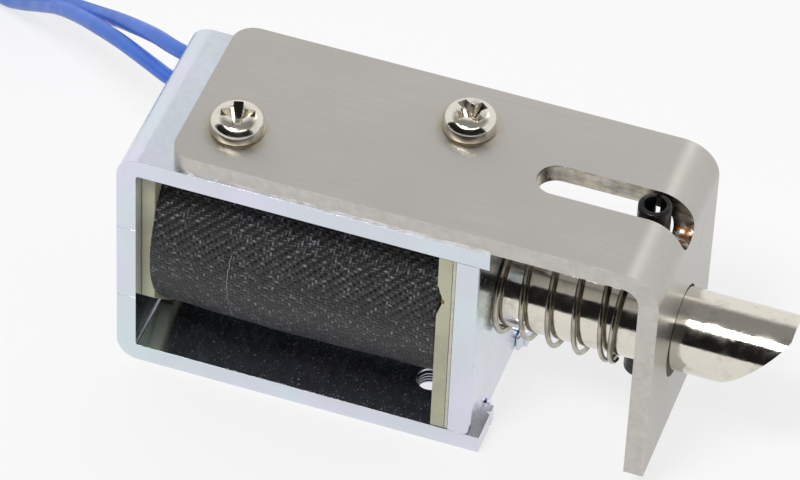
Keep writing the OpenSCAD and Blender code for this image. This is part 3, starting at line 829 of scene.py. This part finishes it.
def build_coil():
    """The wrapped coil: crowned, drawn tight over the two splices, with a woven surface and a lapped end."""
    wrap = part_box("coil_wrap")
    x0, x1 = wrap[0].x, wrap[1].x
    crown_r = AXIS_Z - wrap[0].z
    end_r = crown_r - 0.25 * MM
    crown_x = x0 + (x1 - x0) / 3
    core_r = 9.8 * MM
    splices = [middle("splice_a"), middle("splice_b")]
    ridge_end = high("splice_a").x
    ridge_r = LEAD_R + 0.45 * MM
    lap_x = -8.9 * MM
    around, along = 192, 88
    angles = [2 * math.pi * i / around for i in range(around)]
    directions = [(math.cos(a), math.sin(a)) for a in angles]
    bm = bmesh.new()
    uv = bm.loops.layers.uv.new("threads")
    rings, places = [], []
    pitch = sizes().weave

    def radius_at(x):
        """Radius of the round part of the coil."""
        t = (x - crown_x) / ((crown_x - x0) if x < crown_x else (x1 - crown_x))
        return crown_r - (crown_r - end_r) * abs(t) ** 1.7

    for k in range(along + 1):
        x = x0 + (x1 - x0) * k / along
        r = radius_at(x)
        outline = [(r * c, r * s) for c, s in directions]
        fade = max(0.0, (x - ridge_end) / (x1 - ridge_end))
        for splice in splices:
            cy, cz = splice.y * (1 - fade), (splice.z - AXIS_Z) * (1 - fade)
            rr = ridge_r * (1 - fade) + r * fade
            outline += [(cy + rr * c, cz + rr * s) for c, s in directions[::8]]
        reach = hull_reach(outline, directions)
        lap = 0.035 * MM / (1 + math.exp(-(x - lap_x) / (0.06 * MM)))
        row = []
        for (c, s), a, d in zip(directions, angles, reach):
            slack = 0.03 * MM * (math.sin(3 * a + 90 * x / MM * 0.01) + math.sin(5 * a - x / MM * 0.35))
            inward = min(0.0, slack - 0.05 * MM)
            from_ends = (max(0.0, 1 - reach / (0.5 * MM)) for reach in (x - x0, x1 - x))
            edge = 0.10 * MM * sum(near ** 2 for near in from_ends)
            size = d + inward + lap - edge - 0.035 * MM
            row.append(bm.verts.new((x, size * c, AXIS_Z + size * s)))
        rings.append(row)
        places.append(x)
    inner = [[bm.verts.new((x, core_r * c, AXIS_Z + core_r * s)) for c, s in directions] for x in (x0, x1)]

    def skin(a, b, xa, xb):
        for i in range(around):
            j = (i + 1) % around
            face = bm.faces.new((a[i], a[j], b[j], b[i]))
            ends = ((angles[i], xa), (angles[i] + 2 * math.pi / around, xa),
                    (angles[i] + 2 * math.pi / around, xb), (angles[i], xb))
            for loop, (angle, x) in zip(face.loops, ends):
                loop[uv].uv = (angle * crown_r / pitch, (x - x0) / pitch)

    for a, b, xa, xb in zip(rings, rings[1:], places, places[1:]):
        skin(a, b, xa, xb)
    skin(inner[0], rings[0], x0 - 0.6 * MM, x0)
    skin(rings[-1], inner[1], x1, x1 + 0.6 * MM)
    skin(inner[1], inner[0], x1, x0)
    bmesh.ops.recalc_face_normals(bm, faces=bm.faces)
    cloth = cloth_finish()
    piece("tape_wrap", bm, cloth, nodes=("coil_wrap",), weighted=False)

    # a loose thread along the lap of the tape
    path = []
    for i in range(60):
        a = math.radians(212 - 52 * i / 59)
        r = radius_at(lap_x) - 0.045 * MM
        x = lap_x + 0.05 * MM * math.sin(i * 0.9) + 0.10 * MM * math.sin(i * 0.13)
        path.append((x, r * math.cos(a), AXIS_Z + r * math.sin(a)))
    piece("tape_thread", sweep(path, 0.045 * MM, 6), plain_finish("frayed_thread", (0.30, 0.30, 0.31), 0.6),
          weighted=False)

    for node, name, colour, metallic in (("winding", "enamelled_copper", (0.45, 0.13, 0.04), 0.9),
                                         ("splice_a", "splice_sleeve", (0.10, 0.05, 0.02), 0.0),
                                         ("splice_b", "splice_sleeve_b", (0.10, 0.05, 0.02), 0.0)):
        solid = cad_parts[node]
        solid.data.materials.clear()
        solid.data.materials.append(plain_finish(name, colour, 0.35, metallic))


def build_core():
    """The riveted core, the brass guide tube and the rounded rivet head outside the wall."""
    head_r, spigot_r, core_r = 3.6 * MM, 2.5 * MM, PLUNGER_R
    rivet = low("fixed_core").x
    wall_in = WALL_OUT + SHEET
    core_end = high("fixed_core").x
    profile = [(0, rivet + 0.02 * MM), (head_r - 0.9 * MM, rivet),
               *arc_profile(head_r - 0.4 * MM, WALL_OUT - 0.25 * MM, 0.35 * MM, -90, 0, 6),
               (head_r, WALL_OUT), (spigot_r, WALL_OUT), (spigot_r, wall_in), (core_r, wall_in),
               (core_r, core_end), (2.1 * MM + 1.93 * MM, core_end), (2.1 * MM, core_end - 3.3 * MM),
               (0, core_end - 3.3 * MM)]
    iron = plain_finish("core_iron", (0.42, 0.42, 0.44), 0.28, 1.0)
    piece("core_steel", lathe(profile, on_axis(), 72), iron,
          nodes=("fixed_core",))
    x0, x1 = low("guide_tube").x, high("guide_tube").x
    r0, r1 = TUBE_R, TUBE_R + 0.35 * MM
    edge = 0.06 * MM
    profile = [(r0, x0), (r1, x0), (r1, x1 - edge), (r1 - edge, x1), (r0 + edge, x1), (r0, x1 - edge)]
    piece("guide_tube_brass", lathe(profile, on_axis(), 96, closed=True),
          plain_finish("drawn_brass", (0.62, 0.44, 0.17), 0.22, 1.0), nodes=("guide_tube",))


def arc_profile(radius, height, r, start, end, steps):
    """An arc in a lathe profile: start at -90 degrees faces down the axis, and 0 degrees faces outwards."""
    return [(radius + r * math.cos(math.radians(a)), height + r * math.sin(math.radians(a)))
            for a in (start + (end - start) * i / steps for i in range(steps + 1))]


# ---------------------------------------------------------------- the moving pieces and the spring


def build_plunger():
    cone, small_r, land = 3.6 * MM, 2.1 * MM, 0.4 * MM
    blank = lathe([(0, PLUNGER_BACK), (small_r, PLUNGER_BACK), (PLUNGER_R, PLUNGER_BACK + cone),
                   (PLUNGER_R, BOLT_TIP), (0, BOLT_TIP)], on_axis(), 128)
    top, deep = AXIS_Z + PLUNGER_R - land, AXIS_Z - PLUNGER_R - MM
    wedge_outline = [(BOLT_TIP, top), (BOLT_TIP + MM, top), (BOLT_TIP + MM, deep), (BOLT_TIP - top + deep, deep)]
    bevel = prism(wedge_outline, -6 * MM, 6 * MM, FACING_Y)
    hole = drum(PIN_R + 0.01 * MM, AXIS_Z - 6 * MM, AXIS_Z + 6 * MM, Matrix.Translation((PIN_X, 0, 0)), 48)
    bm = soften(carve(blank, bevel, hole), 0.1 * MM, segments=4, sharp=25)
    return piece("bolt", bm, nickel_finish("bolt_nickel", 0.10), "plunger", ("plunger",))


def build_roll_pin():
    wall, slit = 0.55 * MM, 0.25 * MM
    inner_r = PIN_R - wall
    outer_a, inner_a = math.degrees(math.asin(slit / PIN_R)), math.degrees(math.asin(slit / inner_r))
    outline = (arc((0, 0), PIN_R, 90 + outer_a, 450 - outer_a, 60)
               + arc((0, 0), inner_r, 450 - inner_a, 90 + inner_a, 60))
    bm = prism(outline, PIN_FOOT, PIN_TOP, Matrix.Translation((PIN_X, 0, 0)))

    def end_rim(edge):
        """The outer rims at both ends."""
        a, b = (v.co for v in edge.verts)
        far = all(math.hypot(p.x - PIN_X, p.y) > PIN_R - 0.02 * MM for p in (a, b))
        return far and abs(a.z - b.z) < 0.001 * MM

    soften(bm, 0.26 * MM, end_rim, segments=4)
    soften(bm, 0.05 * MM, segments=2, sharp=50)
    return piece("spring_pin", bm, black_oxide_finish(), "plunger", ("roll_pin",))


def spring_rise(t, turns, length, wire):
    """Distance of the wire's middle from the end plate after t turns."""
    if t < 1:
        return wire * t ** 8
    if t > turns - 1:
        return length - wire * (turns - t) ** 8
    return wire + (length - 2 * wire) * (t - 1) / (turns - 2)


def build_spring():
    turns, steps, start = 6, 64, 248
    x0 = PLATE_OUT + WIRE_R + 0.025 * MM
    length = PIN_X - PIN_R - 0.05 * MM - WIRE_R - x0
    path = []
    for i in range(steps * turns + 1):
        t = i / steps
        a = math.radians(start + 360 * t)
        path.append((x0 + spring_rise(t, turns, length, 2 * WIRE_R), SPRING_R * math.cos(a),
                     AXIS_Z + SPRING_R * math.sin(a)))
    bm = soften(sweep(path, WIRE_R, 16), 0.05 * MM, segments=2, sharp=60)
    made = piece("spring_wire", bm, spring_finish(), nodes=("return_spring",), weighted=False)
    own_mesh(made)
    return made


# ---------------------------------------------------------------- the bracket and its screws


def build_latch_bracket():
    inner, outer = BRACKET_BEND_R, BRACKET_BEND_R + SHEET
    corner = (BRACKET_END - outer, BRACKET_TOP - outer)
    outline = [
        (BRACKET_START, BRACKET_TOP - SHEET), *reversed(arc(corner, inner, 0, 90, 16)),
        (BRACKET_END - SHEET, BRACKET_FOOT), (BRACKET_END, BRACKET_FOOT), *arc(corner, outer, 0, 90, 20),
        (BRACKET_START, BRACKET_TOP),
    ]
    bm = prism(outline, -BRACKET_SIDE, BRACKET_SIDE, FACING_Y)
    r = BRACKET_CORNER_R
    plan = [(BRACKET_END + MM, -BRACKET_SIDE - 0 * MM), (BRACKET_END + MM, BRACKET_SIDE),
            *arc((BRACKET_START + r, BRACKET_SIDE - r), r, 90, 180, 12),
            *arc((BRACKET_START + r, -BRACKET_SIDE + r), r, 180, 270, 12)]
    bm = carve(bm, prism(plan, -MM, BRACKET_TOP + MM), operation="INTERSECT")
    foot_z = BRACKET_TOP - SLOT_DROP + SLOT_R
    slot = prism([(BRACKET_END - outer, SLOT_R), *arc((SLOT_START + SLOT_R, 0), SLOT_R, 90, 270, 32),
                  (BRACKET_END - outer, -SLOT_R)], FRAME_TOP - MM, BRACKET_TOP + MM)
    foot_outline = [(SLOT_R, BRACKET_TOP + MM), *reversed(arc((0, foot_z), SLOT_R, 180, 360, 32)),
                    (-SLOT_R, BRACKET_TOP + MM)]
    slot_foot = prism(foot_outline, BRACKET_END - outer - 0.01 * MM, BRACKET_END + MM, FACING_X)
    screws = leaf_holes(middle("screw_left").x, middle("screw_right").x, -1)
    tools = [slot, slot_foot,
             drum(BOLT_HOLE_R, BRACKET_END - 2 * SHEET, BRACKET_END + MM, on_axis(0, BOLT_HOLE_DROP))]
    for x, y in screws:
        tools.append(drum(SCREW_HOLE_R, FRAME_TOP - MM, BRACKET_TOP + MM, Matrix.Translation((x, y, 0)), 48))
    bm = soften(carve(bm, *tools), sizes().sheet_edge)

    def developed(p):
        """Distance along the strip's outer face from the bend's start, in millimetres."""
        dx, dz = p.x - corner[0], p.z - corner[1]
        if dx <= 0:
            return dx / MM
        if dz <= 0:
            return (outer * math.pi / 2 - dz) / MM
        return outer * math.atan2(dx, dz) / MM

    uv = bm.loops.layers.uv.new("grain")
    for face in bm.faces:
        for loop in face.loops:
            loop[uv].uv = (developed(loop.vert.co), loop.vert.co.y / MM)

    made = piece("bracket_sheet", bm, stainless_finish(screws), nodes=("latch_bracket",))

    def on_rim(p, n):
        """The sheared edges, apart from the walls of the slot and holes."""
        return (abs(p.y) > BRACKET_SIDE - sizes().sheet_edge * 0.7 and abs(n.y) > 0.5
                or p.x < BRACKET_START + BRACKET_CORNER_R and abs(n.z) < 0.6
                or p.z < BRACKET_FOOT + sizes().sheet_edge * 0.7 and n.z < -0.6)

    def in_slot(p, n):
        """The walls of the slot."""
        middle_y = abs(p.y) < SLOT_R + 0.02 * MM
        return middle_y and p.x > SLOT_START - 0.02 * MM and p.z > foot_z - SLOT_R - 0.02 * MM and (
            abs(n.y) > 0.6 or p.x < SLOT_START + SLOT_R and abs(n.z) < 0.5
            or p.z < foot_z and p.x > BRACKET_END - SHEET and abs(n.x) < 0.6)

    # the rims take the duller sheared finish, whose lighter colour is painted light
    mark(made, sheared_and_painted_light_finish(), on_rim)
    mark(made, slot_wall_finish(), in_slot)
    return made


def wedge(width_top, length_top, width_low, length_low, z_top, z_low, turn):
    """One arm of a cross recess: a bar that narrows downwards."""
    bm = bmesh.new()
    rings = []
    for w, l, z in ((width_top, length_top, z_top), (width_low, length_low, z_low)):
        corners = ((-1, -1), (1, -1), (1, 1), (-1, 1))
        rings.append([bm.verts.new((x * l / 2, y * w / 2, z)) for x, y in corners])
    bm.faces.new(list(reversed(rings[0])))
    bm.faces.new(rings[1])
    for i in range(4):
        j = (i + 1) % 4
        bm.faces.new((rings[0][i], rings[0][j], rings[1][j], rings[1][i]))
    bm.transform(Matrix.Rotation(math.radians(turn), 4, "Z"))
    bmesh.ops.recalc_face_normals(bm, faces=bm.faces)
    return bm


def screw_mesh(turn):
    """A pan-head screw with a cross recess, standing with its head's underside on z = 0."""
    head_r, head_h, crown = 2.75 * MM, 1.95 * MM, 1.35 * MM
    shank_r, root_r, pitch = 1.47 * MM, 1.22 * MM, 0.5 * MM
    profile = [(0, -2 * SHEET), (root_r, -2 * SHEET)]
    z = -2 * SHEET + 0.1 * MM
    while z < -0.3 * MM:
        profile += [(root_r, z), (shank_r, z + pitch * 0.42), (shank_r, z + pitch * 0.55)]
        z += pitch
    profile += [(shank_r, -0.02 * MM), (shank_r, 0), (head_r - 0.15 * MM, 0), (head_r, 0.15 * MM)]
    profile += arc_profile(head_r - crown, head_h - crown, crown, 0, 90, 12)
    profile += [(0, head_h + 0.06 * MM)]
    blank = lathe(profile, Matrix.Identity(4), 72)
    top = head_h + 0.2 * MM
    arms = [wedge(1.05 * MM, 3.7 * MM, 0.5 * MM, 1.3 * MM, top, 0.55 * MM, turn + a) for a in (0, 90)]
    cup = drum(0.45 * MM, 0.35 * MM, top, Matrix.Identity(4), 24, far_radius=1.05 * MM)
    return soften(carve(blank, *arms, cup), 0.06 * MM, segments=3, sharp=35)


def build_screws():
    nickel = nickel_finish("screw_nickel", 0.14)
    for node, turn in (("screw_left", 17), ("screw_right", 50)):
        bm = screw_mesh(turn)
        at = middle(node)
        bm.transform(Matrix.Translation((at.x, at.y, BRACKET_TOP)))
        piece(node + "_body", bm, nickel, nodes=(node,))


# ---------------------------------------------------------------- the leads

LEAD_A_POINTS = [
    (-15.2, 11.1, 17), (-16.35, 11.1, 17), (-18.6, 11.2, 17.1), (-21, 11.4, 17.3), (-23.4, 11.9, 17.4),
    (-25.4, 12.8, 17.5), (-27.6, 14.1, 17.3), (-30.4, 15.9, 16.8), (-33.5, 18.3, 15.5), (-36.9, 21.3, 13.5),
    (-40.6, 24.8, 10.6), (-44.3, 28.3, 6.9), (-47.6, 31.1, 3.8), (-50.1, 33.1, 1.9), (-52.5, 34.9, 1),
    (-55, 36.7, 0.8), (-57.4, 38.4, 0.8), (-59.9, 40.2, 0.8),
]
LEAD_B_POINTS = [
    (-15.2, 11.1, 21.4), (-16.35, 11.1, 21.4), (-18.6, 11.2, 21.5), (-21.4, 11.7, 21.4), (-23.6, 12.9, 20.8),
    (-25.8, 14.5, 20), (-28.5, 16.6, 18.5), (-31.7, 19.3, 16.3), (-35.1, 22.4, 13.5), (-38.7, 25.9, 10.3),
    (-42.6, 29.8, 6.7), (-46, 32.7, 4.1), (-48.6, 34.2, 2.9), (-51.2, 35.5, 2.5), (-53.8, 36.9, 2.4),
    (-56.3, 38.2, 2.4), (-58.8, 39.7, 2.4),
]


def coil_points(centre, start, end, z, outside_r, inside_r, pitch):
    """Clockwise turns from start to end degrees, closing in by one pitch a turn and curling in at the end."""
    points = []
    total = start - end
    count = int(total / 10)
    curl = 32.0
    for i in range(1, count + 1):
        a = start - total * i / count
        r = outside_r - pitch * (start - a) / 360
        left = a - end
        if left < curl:
            r += (inside_r - r) * (1 - left / curl) ** 2
        turned = math.radians(a)
        points.append(Vector((centre.x + r * math.cos(turned), centre.y + r * math.sin(turned), z)))
    return points


def smooth_path(points, step):
    """A Catmull-Rom curve through points, cut into pieces of about one step."""
    ends = [2 * points[0] - points[1], *points, 2 * points[-1] - points[-2]]
    path = []
    for a, b, c, d in zip(ends, ends[1:], ends[2:], ends[3:]):
        count = max(1, round((c - b).length / step))
        for i in range(count):
            t = i / count
            path.append(0.5 * (2 * b + (c - a) * t + (2 * a - 5 * b + 4 * c - d) * t * t
                               + (3 * b - a - 3 * c + d) * t ** 3))
    return [*path, points[-1]]


def twisted_tip(start, direction, length, radius):
    """Seven tinned strands twisted together: one in the middle and six round it."""
    strand = radius * 0.36
    side = direction.orthogonal().normalized()
    rise = direction.cross(side)
    parts = [sweep([start + direction * length * i / 8 for i in range(9)], strand, 8)]
    for k in range(6):
        path = []
        for i in range(25):
            a = 2 * math.pi * (k / 6 + 0.8 * i / 24)
            out = radius - strand
            path.append(start + direction * length * i / 24 + out * (math.cos(a) * side + math.sin(a) * rise))
        parts.append(sweep(path, strand, 8))
    return joined(*parts)


def build_leads():
    insulation = lead_finish()
    tinned = plain_finish("tinned_copper", (0.62, 0.60, 0.56), 0.28, 1.0)
    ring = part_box("lead_coil")
    centre = (ring[0] + ring[1]) / 2
    outside_r = (ring[1].x - ring[0].x) / 2 - LEAD_R
    inside_r = 5.8 * MM
    for letter, points, end, dip in (("a", LEAD_A_POINTS, 20, 0), ("b", LEAD_B_POINTS, 60, 20)):
        route = [Vector(p) * MM for p in points]
        last = route[-1] - centre
        start = math.degrees(math.atan2(last.y, last.x)) % 360
        turns = coil_points(centre, start, end - 720, route[-1].z, outside_r, inside_r, 2 * LEAD_R)
        path = smooth_path(route + turns, 0.8 * MM)
        curve = bpy.data.curves.new("lead_" + letter, "CURVE")
        curve.dimensions = "3D"
        curve.bevel_depth = LEAD_R
        curve.bevel_resolution = 5
        curve.use_fill_caps = True
        spline = curve.splines.new("POLY")
        spline.points.add(len(path) - 1)
        for place, p in zip(spline.points, path):
            place.co = (*p, 1)
        curve.materials.append(insulation)
        lead = bpy.data.objects.new("lead_" + letter, curve)
        bpy.context.scene.collection.objects.link(lead)
        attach(lead, "frame")
        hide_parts("lead_wire_" + letter, "lead_coil")

        heading = math.radians(end - 135)
        slope = math.radians(dip)
        direction = Vector((math.cos(heading) * math.cos(slope), math.sin(heading) * math.cos(slope),
                            -math.sin(slope)))
        node = "lead_tip_" + letter
        tip_start = Vector((*path[-1].xy, path[-1].z)) - direction * 0.3 * MM
        tip = piece(node + "_strands", twisted_tip(tip_start, direction, 5.2 * MM, 0.45 * MM), tinned,
                    nodes=(node,), weighted=False)


# ---------------------------------------------------------------- the stage


def aim(target, azimuth, elevation, distance, roll=0.0):
    """The place and turn of a camera that looks at target. Azimuth 0 looks along +Y."""
    a, e, r = (math.radians(v) for v in (azimuth, elevation, roll))
    forward = Vector((-math.sin(a) * math.cos(e), math.cos(a) * math.cos(e), -math.sin(e)))
    right = Vector((math.cos(a), math.sin(a), 0))
    up = right.cross(forward)
    right, up = right * math.cos(r) + up * math.sin(r), up * math.cos(r) - right * math.sin(r)
    turn = Matrix((right, up, -forward)).transposed().to_4x4()
    return Matrix.Translation(Vector(target) - forward * distance) @ turn


def build_camera():
    lens = bpy.data.cameras.new("camera")
    lens.sensor_width = 36
    lens.lens = 238.76
    lens.clip_end = 20
    camera = bpy.data.objects.new("camera", lens)
    target = (6.4 * MM, -3.852 * MM, 19.487 * MM)
    camera.matrix_world = aim(target, azimuth=17.211, elevation=44.145, distance=514.4 * MM, roll=2.764)
    bpy.context.scene.collection.objects.link(camera)
    bpy.context.scene.camera = camera


def build_floor():
    bm = bmesh.new()
    bmesh.ops.create_grid(bm, x_segments=8, y_segments=8, size=1.2)
    bm.transform(Matrix.Translation((0, 0, -0.02 * MM)))
    mesh = bpy.data.meshes.new("floor")
    bm.to_mesh(mesh)
    bm.free()
    floor = bpy.data.objects.new("floor", mesh)
    bpy.context.scene.collection.objects.link(floor)
    made = Finish("floor_white", (0.9, 0.9, 0.9), 0.8)
    light = made.node("ShaderNodeLightPath")
    mirrored = made.math("MAXIMUM", light.outputs["Is Glossy Ray"], light.outputs["Is Transmission Ray"])
    seen = made.math("MAXIMUM", light.outputs["Is Camera Ray"], mirrored)
    glow = made.node("ShaderNodeEmission")
    mix = made.node("ShaderNodeMixShader")
    made.wire(made.math("MULTIPLY", seen, 0.72), mix.inputs["Fac"])
    made.wire(made.shader.outputs["BSDF"], mix.inputs[1])
    made.wire(glow.outputs["Emission"], mix.inputs[2])
    made.wire(mix.outputs["Shader"], made.output.inputs["Surface"])
    mesh.materials.append(made.material)


def build_world():
    world = bpy.data.worlds.new("studio")
    world.use_nodes = True
    bpy.context.scene.world = world
    back = world.node_tree.nodes["Background"]
    back.inputs["Color"].default_value = (1, 1, 1, 1)
    back.inputs["Strength"].default_value = 1.0


def card_glow(name, strength):
    """Even light of a card's own. It thins out to nothing where the mesh says that the card's cover is 0."""
    made = Finish(name)
    glow = made.node("ShaderNodeEmission")
    glow.inputs["Strength"].default_value = strength
    mix = made.node("ShaderNodeMixShader")
    made.wire(made.node("ShaderNodeAttribute", attribute_name="cover").outputs["Fac"], mix.inputs["Fac"])
    made.wire(made.node("ShaderNodeBsdfTransparent").outputs["BSDF"], mix.inputs[1])
    made.wire(glow.outputs["Emission"], mix.inputs[2])
    made.wire(mix.outputs["Shader"], made.output.inputs["Surface"])
    return made.material


def build_card(name, distance, azimuths, elevations, strength, feather, steps=72):
    """A card bent round the set, which the part reflects and the camera does not see. The angles are in
    degrees, and feather is the width, in degrees, in which its edges fade."""
    bm = bmesh.new()
    cover = bm.verts.layers.float.new("cover")
    full_turn = azimuths[1] - azimuths[0] >= 360
    rows = []
    for i in range(steps + 1):
        elevation = elevations[0] + (elevations[1] - elevations[0]) * i / steps
        rows.append([])
        for j in range(steps + 1):
            azimuth = azimuths[0] + (azimuths[1] - azimuths[0]) * j / steps
            a, e = math.radians(azimuth), math.radians(elevation)
            vert = bm.verts.new((distance * math.cos(a) * math.cos(e), distance * math.sin(a) * math.cos(e),
                                 distance * math.sin(e)))
            edge = min(elevation - elevations[0], elevations[1] - elevation if elevations[1] < 90 else 90)
            if not full_turn:
                edge = min(edge, (azimuth - azimuths[0]) * math.cos(e), (azimuths[1] - azimuth) * math.cos(e))
            vert[cover] = min(1.0, edge / feather)
            rows[-1].append(vert)
    for low_row, high_row in zip(rows, rows[1:]):
        for corners in zip(low_row, low_row[1:], high_row[1:], high_row):
            bm.faces.new(corners)
    mesh = bpy.data.meshes.new(name)
    bm.to_mesh(mesh)
    bm.free()
    mesh.materials.append(card_glow(name + "_glow", strength))
    card = bpy.data.objects.new(name, mesh)
    card.visible_camera = False
    bpy.context.scene.collection.objects.link(card)


def build_lamp(name, azimuth, elevation, distance, size, power):
    light = bpy.data.lights.new(name, "AREA")
    light.shape = "SQUARE"
    light.size = size
    light.energy = power
    lamp = bpy.data.objects.new(name, light)
    lamp.matrix_world = aim((5 * MM, 0, 15 * MM), azimuth, elevation, distance)
    bpy.context.scene.collection.objects.link(lamp)


def build_stage():
    build_camera()
    build_floor()
    build_world()
    build_card("ceiling", 3.3, (0, 360), (41, 90), 0.30, 14)
    build_card("front_flag", 3.2, (-173, -7), (0.4, 53), 0.015, 3.5)
    build_card("light_strip", 3.1, (-162, -18), (53, 60.5), 4.5, 1.5)
    build_card("soft_box", 3.0, (64, 88), (36, 50), 3.0, 5.0)
    build_lamp("key_lamp", -20, 62, 0.6, 0.16, 1.4)
    view = bpy.context.scene.view_settings
    view.view_transform = "Standard"


# ---------------------------------------------------------------- operators


class SOLENOID_OT_stage(Operator):
    """Sets the camera, the floor, the studio and its lamp"""

    bl_idname = "solenoid.stage"
    bl_label = "Stage"
    bl_options = {"REGISTER", "UNDO"}

    def execute(self, context):
        build_stage()
        return {"FINISHED"}


class SOLENOID_OT_leads(Operator):
    """Lays the two leads and their tinned ends"""

    bl_idname = "solenoid.leads"
    bl_label = "Leads"
    bl_options = {"REGISTER", "UNDO"}

    def execute(self, context):
        build_leads()
        return {"FINISHED"}


class SOLENOID_OT_frame_yoke(Operator):
    """Builds the bent frame strip with its tapped holes"""

    bl_idname = "solenoid.frame_yoke"
    bl_label = "Frame"
    bl_options = {"REGISTER", "UNDO"}

    def execute(self, context):
        build_frame_yoke()
        return {"FINISHED"}


class SOLENOID_OT_end_plate(Operator):
    """Builds the plate staked into the frame"""

    bl_idname = "solenoid.end_plate"
    bl_label = "End plate"
    bl_options = {"REGISTER", "UNDO"}

    def execute(self, context):
        build_end_plate()
        return {"FINISHED"}


class SOLENOID_OT_bobbin(Operator):
    """Builds the bobbin and its paper washer"""

    bl_idname = "solenoid.bobbin"
    bl_label = "Bobbin"
    bl_options = {"REGISTER", "UNDO"}

    def execute(self, context):
        build_bobbin()
        return {"FINISHED"}


class SOLENOID_OT_coil(Operator):
    """Builds the taped coil"""

    bl_idname = "solenoid.coil"
    bl_label = "Coil"
    bl_options = {"REGISTER", "UNDO"}

    def execute(self, context):
        build_coil()
        return {"FINISHED"}


class SOLENOID_OT_core(Operator):
    """Builds the riveted core and the guide tube"""

    bl_idname = "solenoid.core"
    bl_label = "Core"
    bl_options = {"REGISTER", "UNDO"}

    def execute(self, context):
        build_core()
        return {"FINISHED"}


class SOLENOID_OT_plunger(Operator):
    """Builds the plunger with its bevelled tip"""

    bl_idname = "solenoid.plunger"
    bl_label = "Bolt"
    bl_options = {"REGISTER", "UNDO"}

    def execute(self, context):
        build_plunger()
        return {"FINISHED"}


class SOLENOID_OT_roll_pin(Operator):
    """Builds the slotted spring pin"""

    bl_idname = "solenoid.roll_pin"
    bl_label = "Pin"
    bl_options = {"REGISTER", "UNDO"}

    def execute(self, context):
        build_roll_pin()
        return {"FINISHED"}


class SOLENOID_OT_spring(Operator):
    """Winds the return spring"""

    bl_idname = "solenoid.spring"
    bl_label = "Spring"
    bl_options = {"REGISTER", "UNDO"}

    def execute(self, context):
        build_spring()
        return {"FINISHED"}


class SOLENOID_OT_latch_bracket(Operator):
    """Builds the bent latch bracket"""

    bl_idname = "solenoid.latch_bracket"
    bl_label = "Bracket"
    bl_options = {"REGISTER", "UNDO"}

    def execute(self, context):
        build_latch_bracket()
        return {"FINISHED"}


class SOLENOID_OT_screws(Operator):
    """Builds the two pan-head screws"""

    bl_idname = "solenoid.screws"
    bl_label = "Screws"
    bl_options = {"REGISTER", "UNDO"}

    def execute(self, context):
        build_screws()
        return {"FINISHED"}


OPERATORS = (
    SOLENOID_OT_stage,
    SOLENOID_OT_leads,
    SOLENOID_OT_frame_yoke,
    SOLENOID_OT_end_plate,
    SOLENOID_OT_bobbin,
    SOLENOID_OT_coil,
    SOLENOID_OT_core,
    SOLENOID_OT_plunger,
    SOLENOID_OT_roll_pin,
    SOLENOID_OT_spring,
    SOLENOID_OT_latch_bracket,
    SOLENOID_OT_screws,
)


class SOLENOID_PT_build(Panel):
    """The list of pieces to build"""

    bl_label = "Solenoid"
    bl_space_type = "VIEW_3D"
    bl_region_type = "UI"
    bl_category = "Solenoid"

    def draw(self, context):
        for made in OPERATORS:
            self.layout.operator(made.bl_idname)


CLASSES = (SolenoidSizes, SolenoidColours, *OPERATORS, SOLENOID_PT_build)


def register():
    for made in CLASSES:
        bpy.utils.register_class(made)
    bpy.types.Scene.solenoid_sizes = PointerProperty(type=SolenoidSizes)
    bpy.types.Scene.solenoid_colours = PointerProperty(type=SolenoidColours)


def unregister():
    del bpy.types.Scene.solenoid_sizes, bpy.types.Scene.solenoid_colours
    for made in reversed(CLASSES):
        bpy.utils.unregister_class(made)


def main():
    register()
    for made in OPERATORS:
        group, name = made.bl_idname.split(".")
        getattr(getattr(bpy.ops, group), name)()
    bpy.context.view_layer.update()


if __name__ == "__main__":
    main()
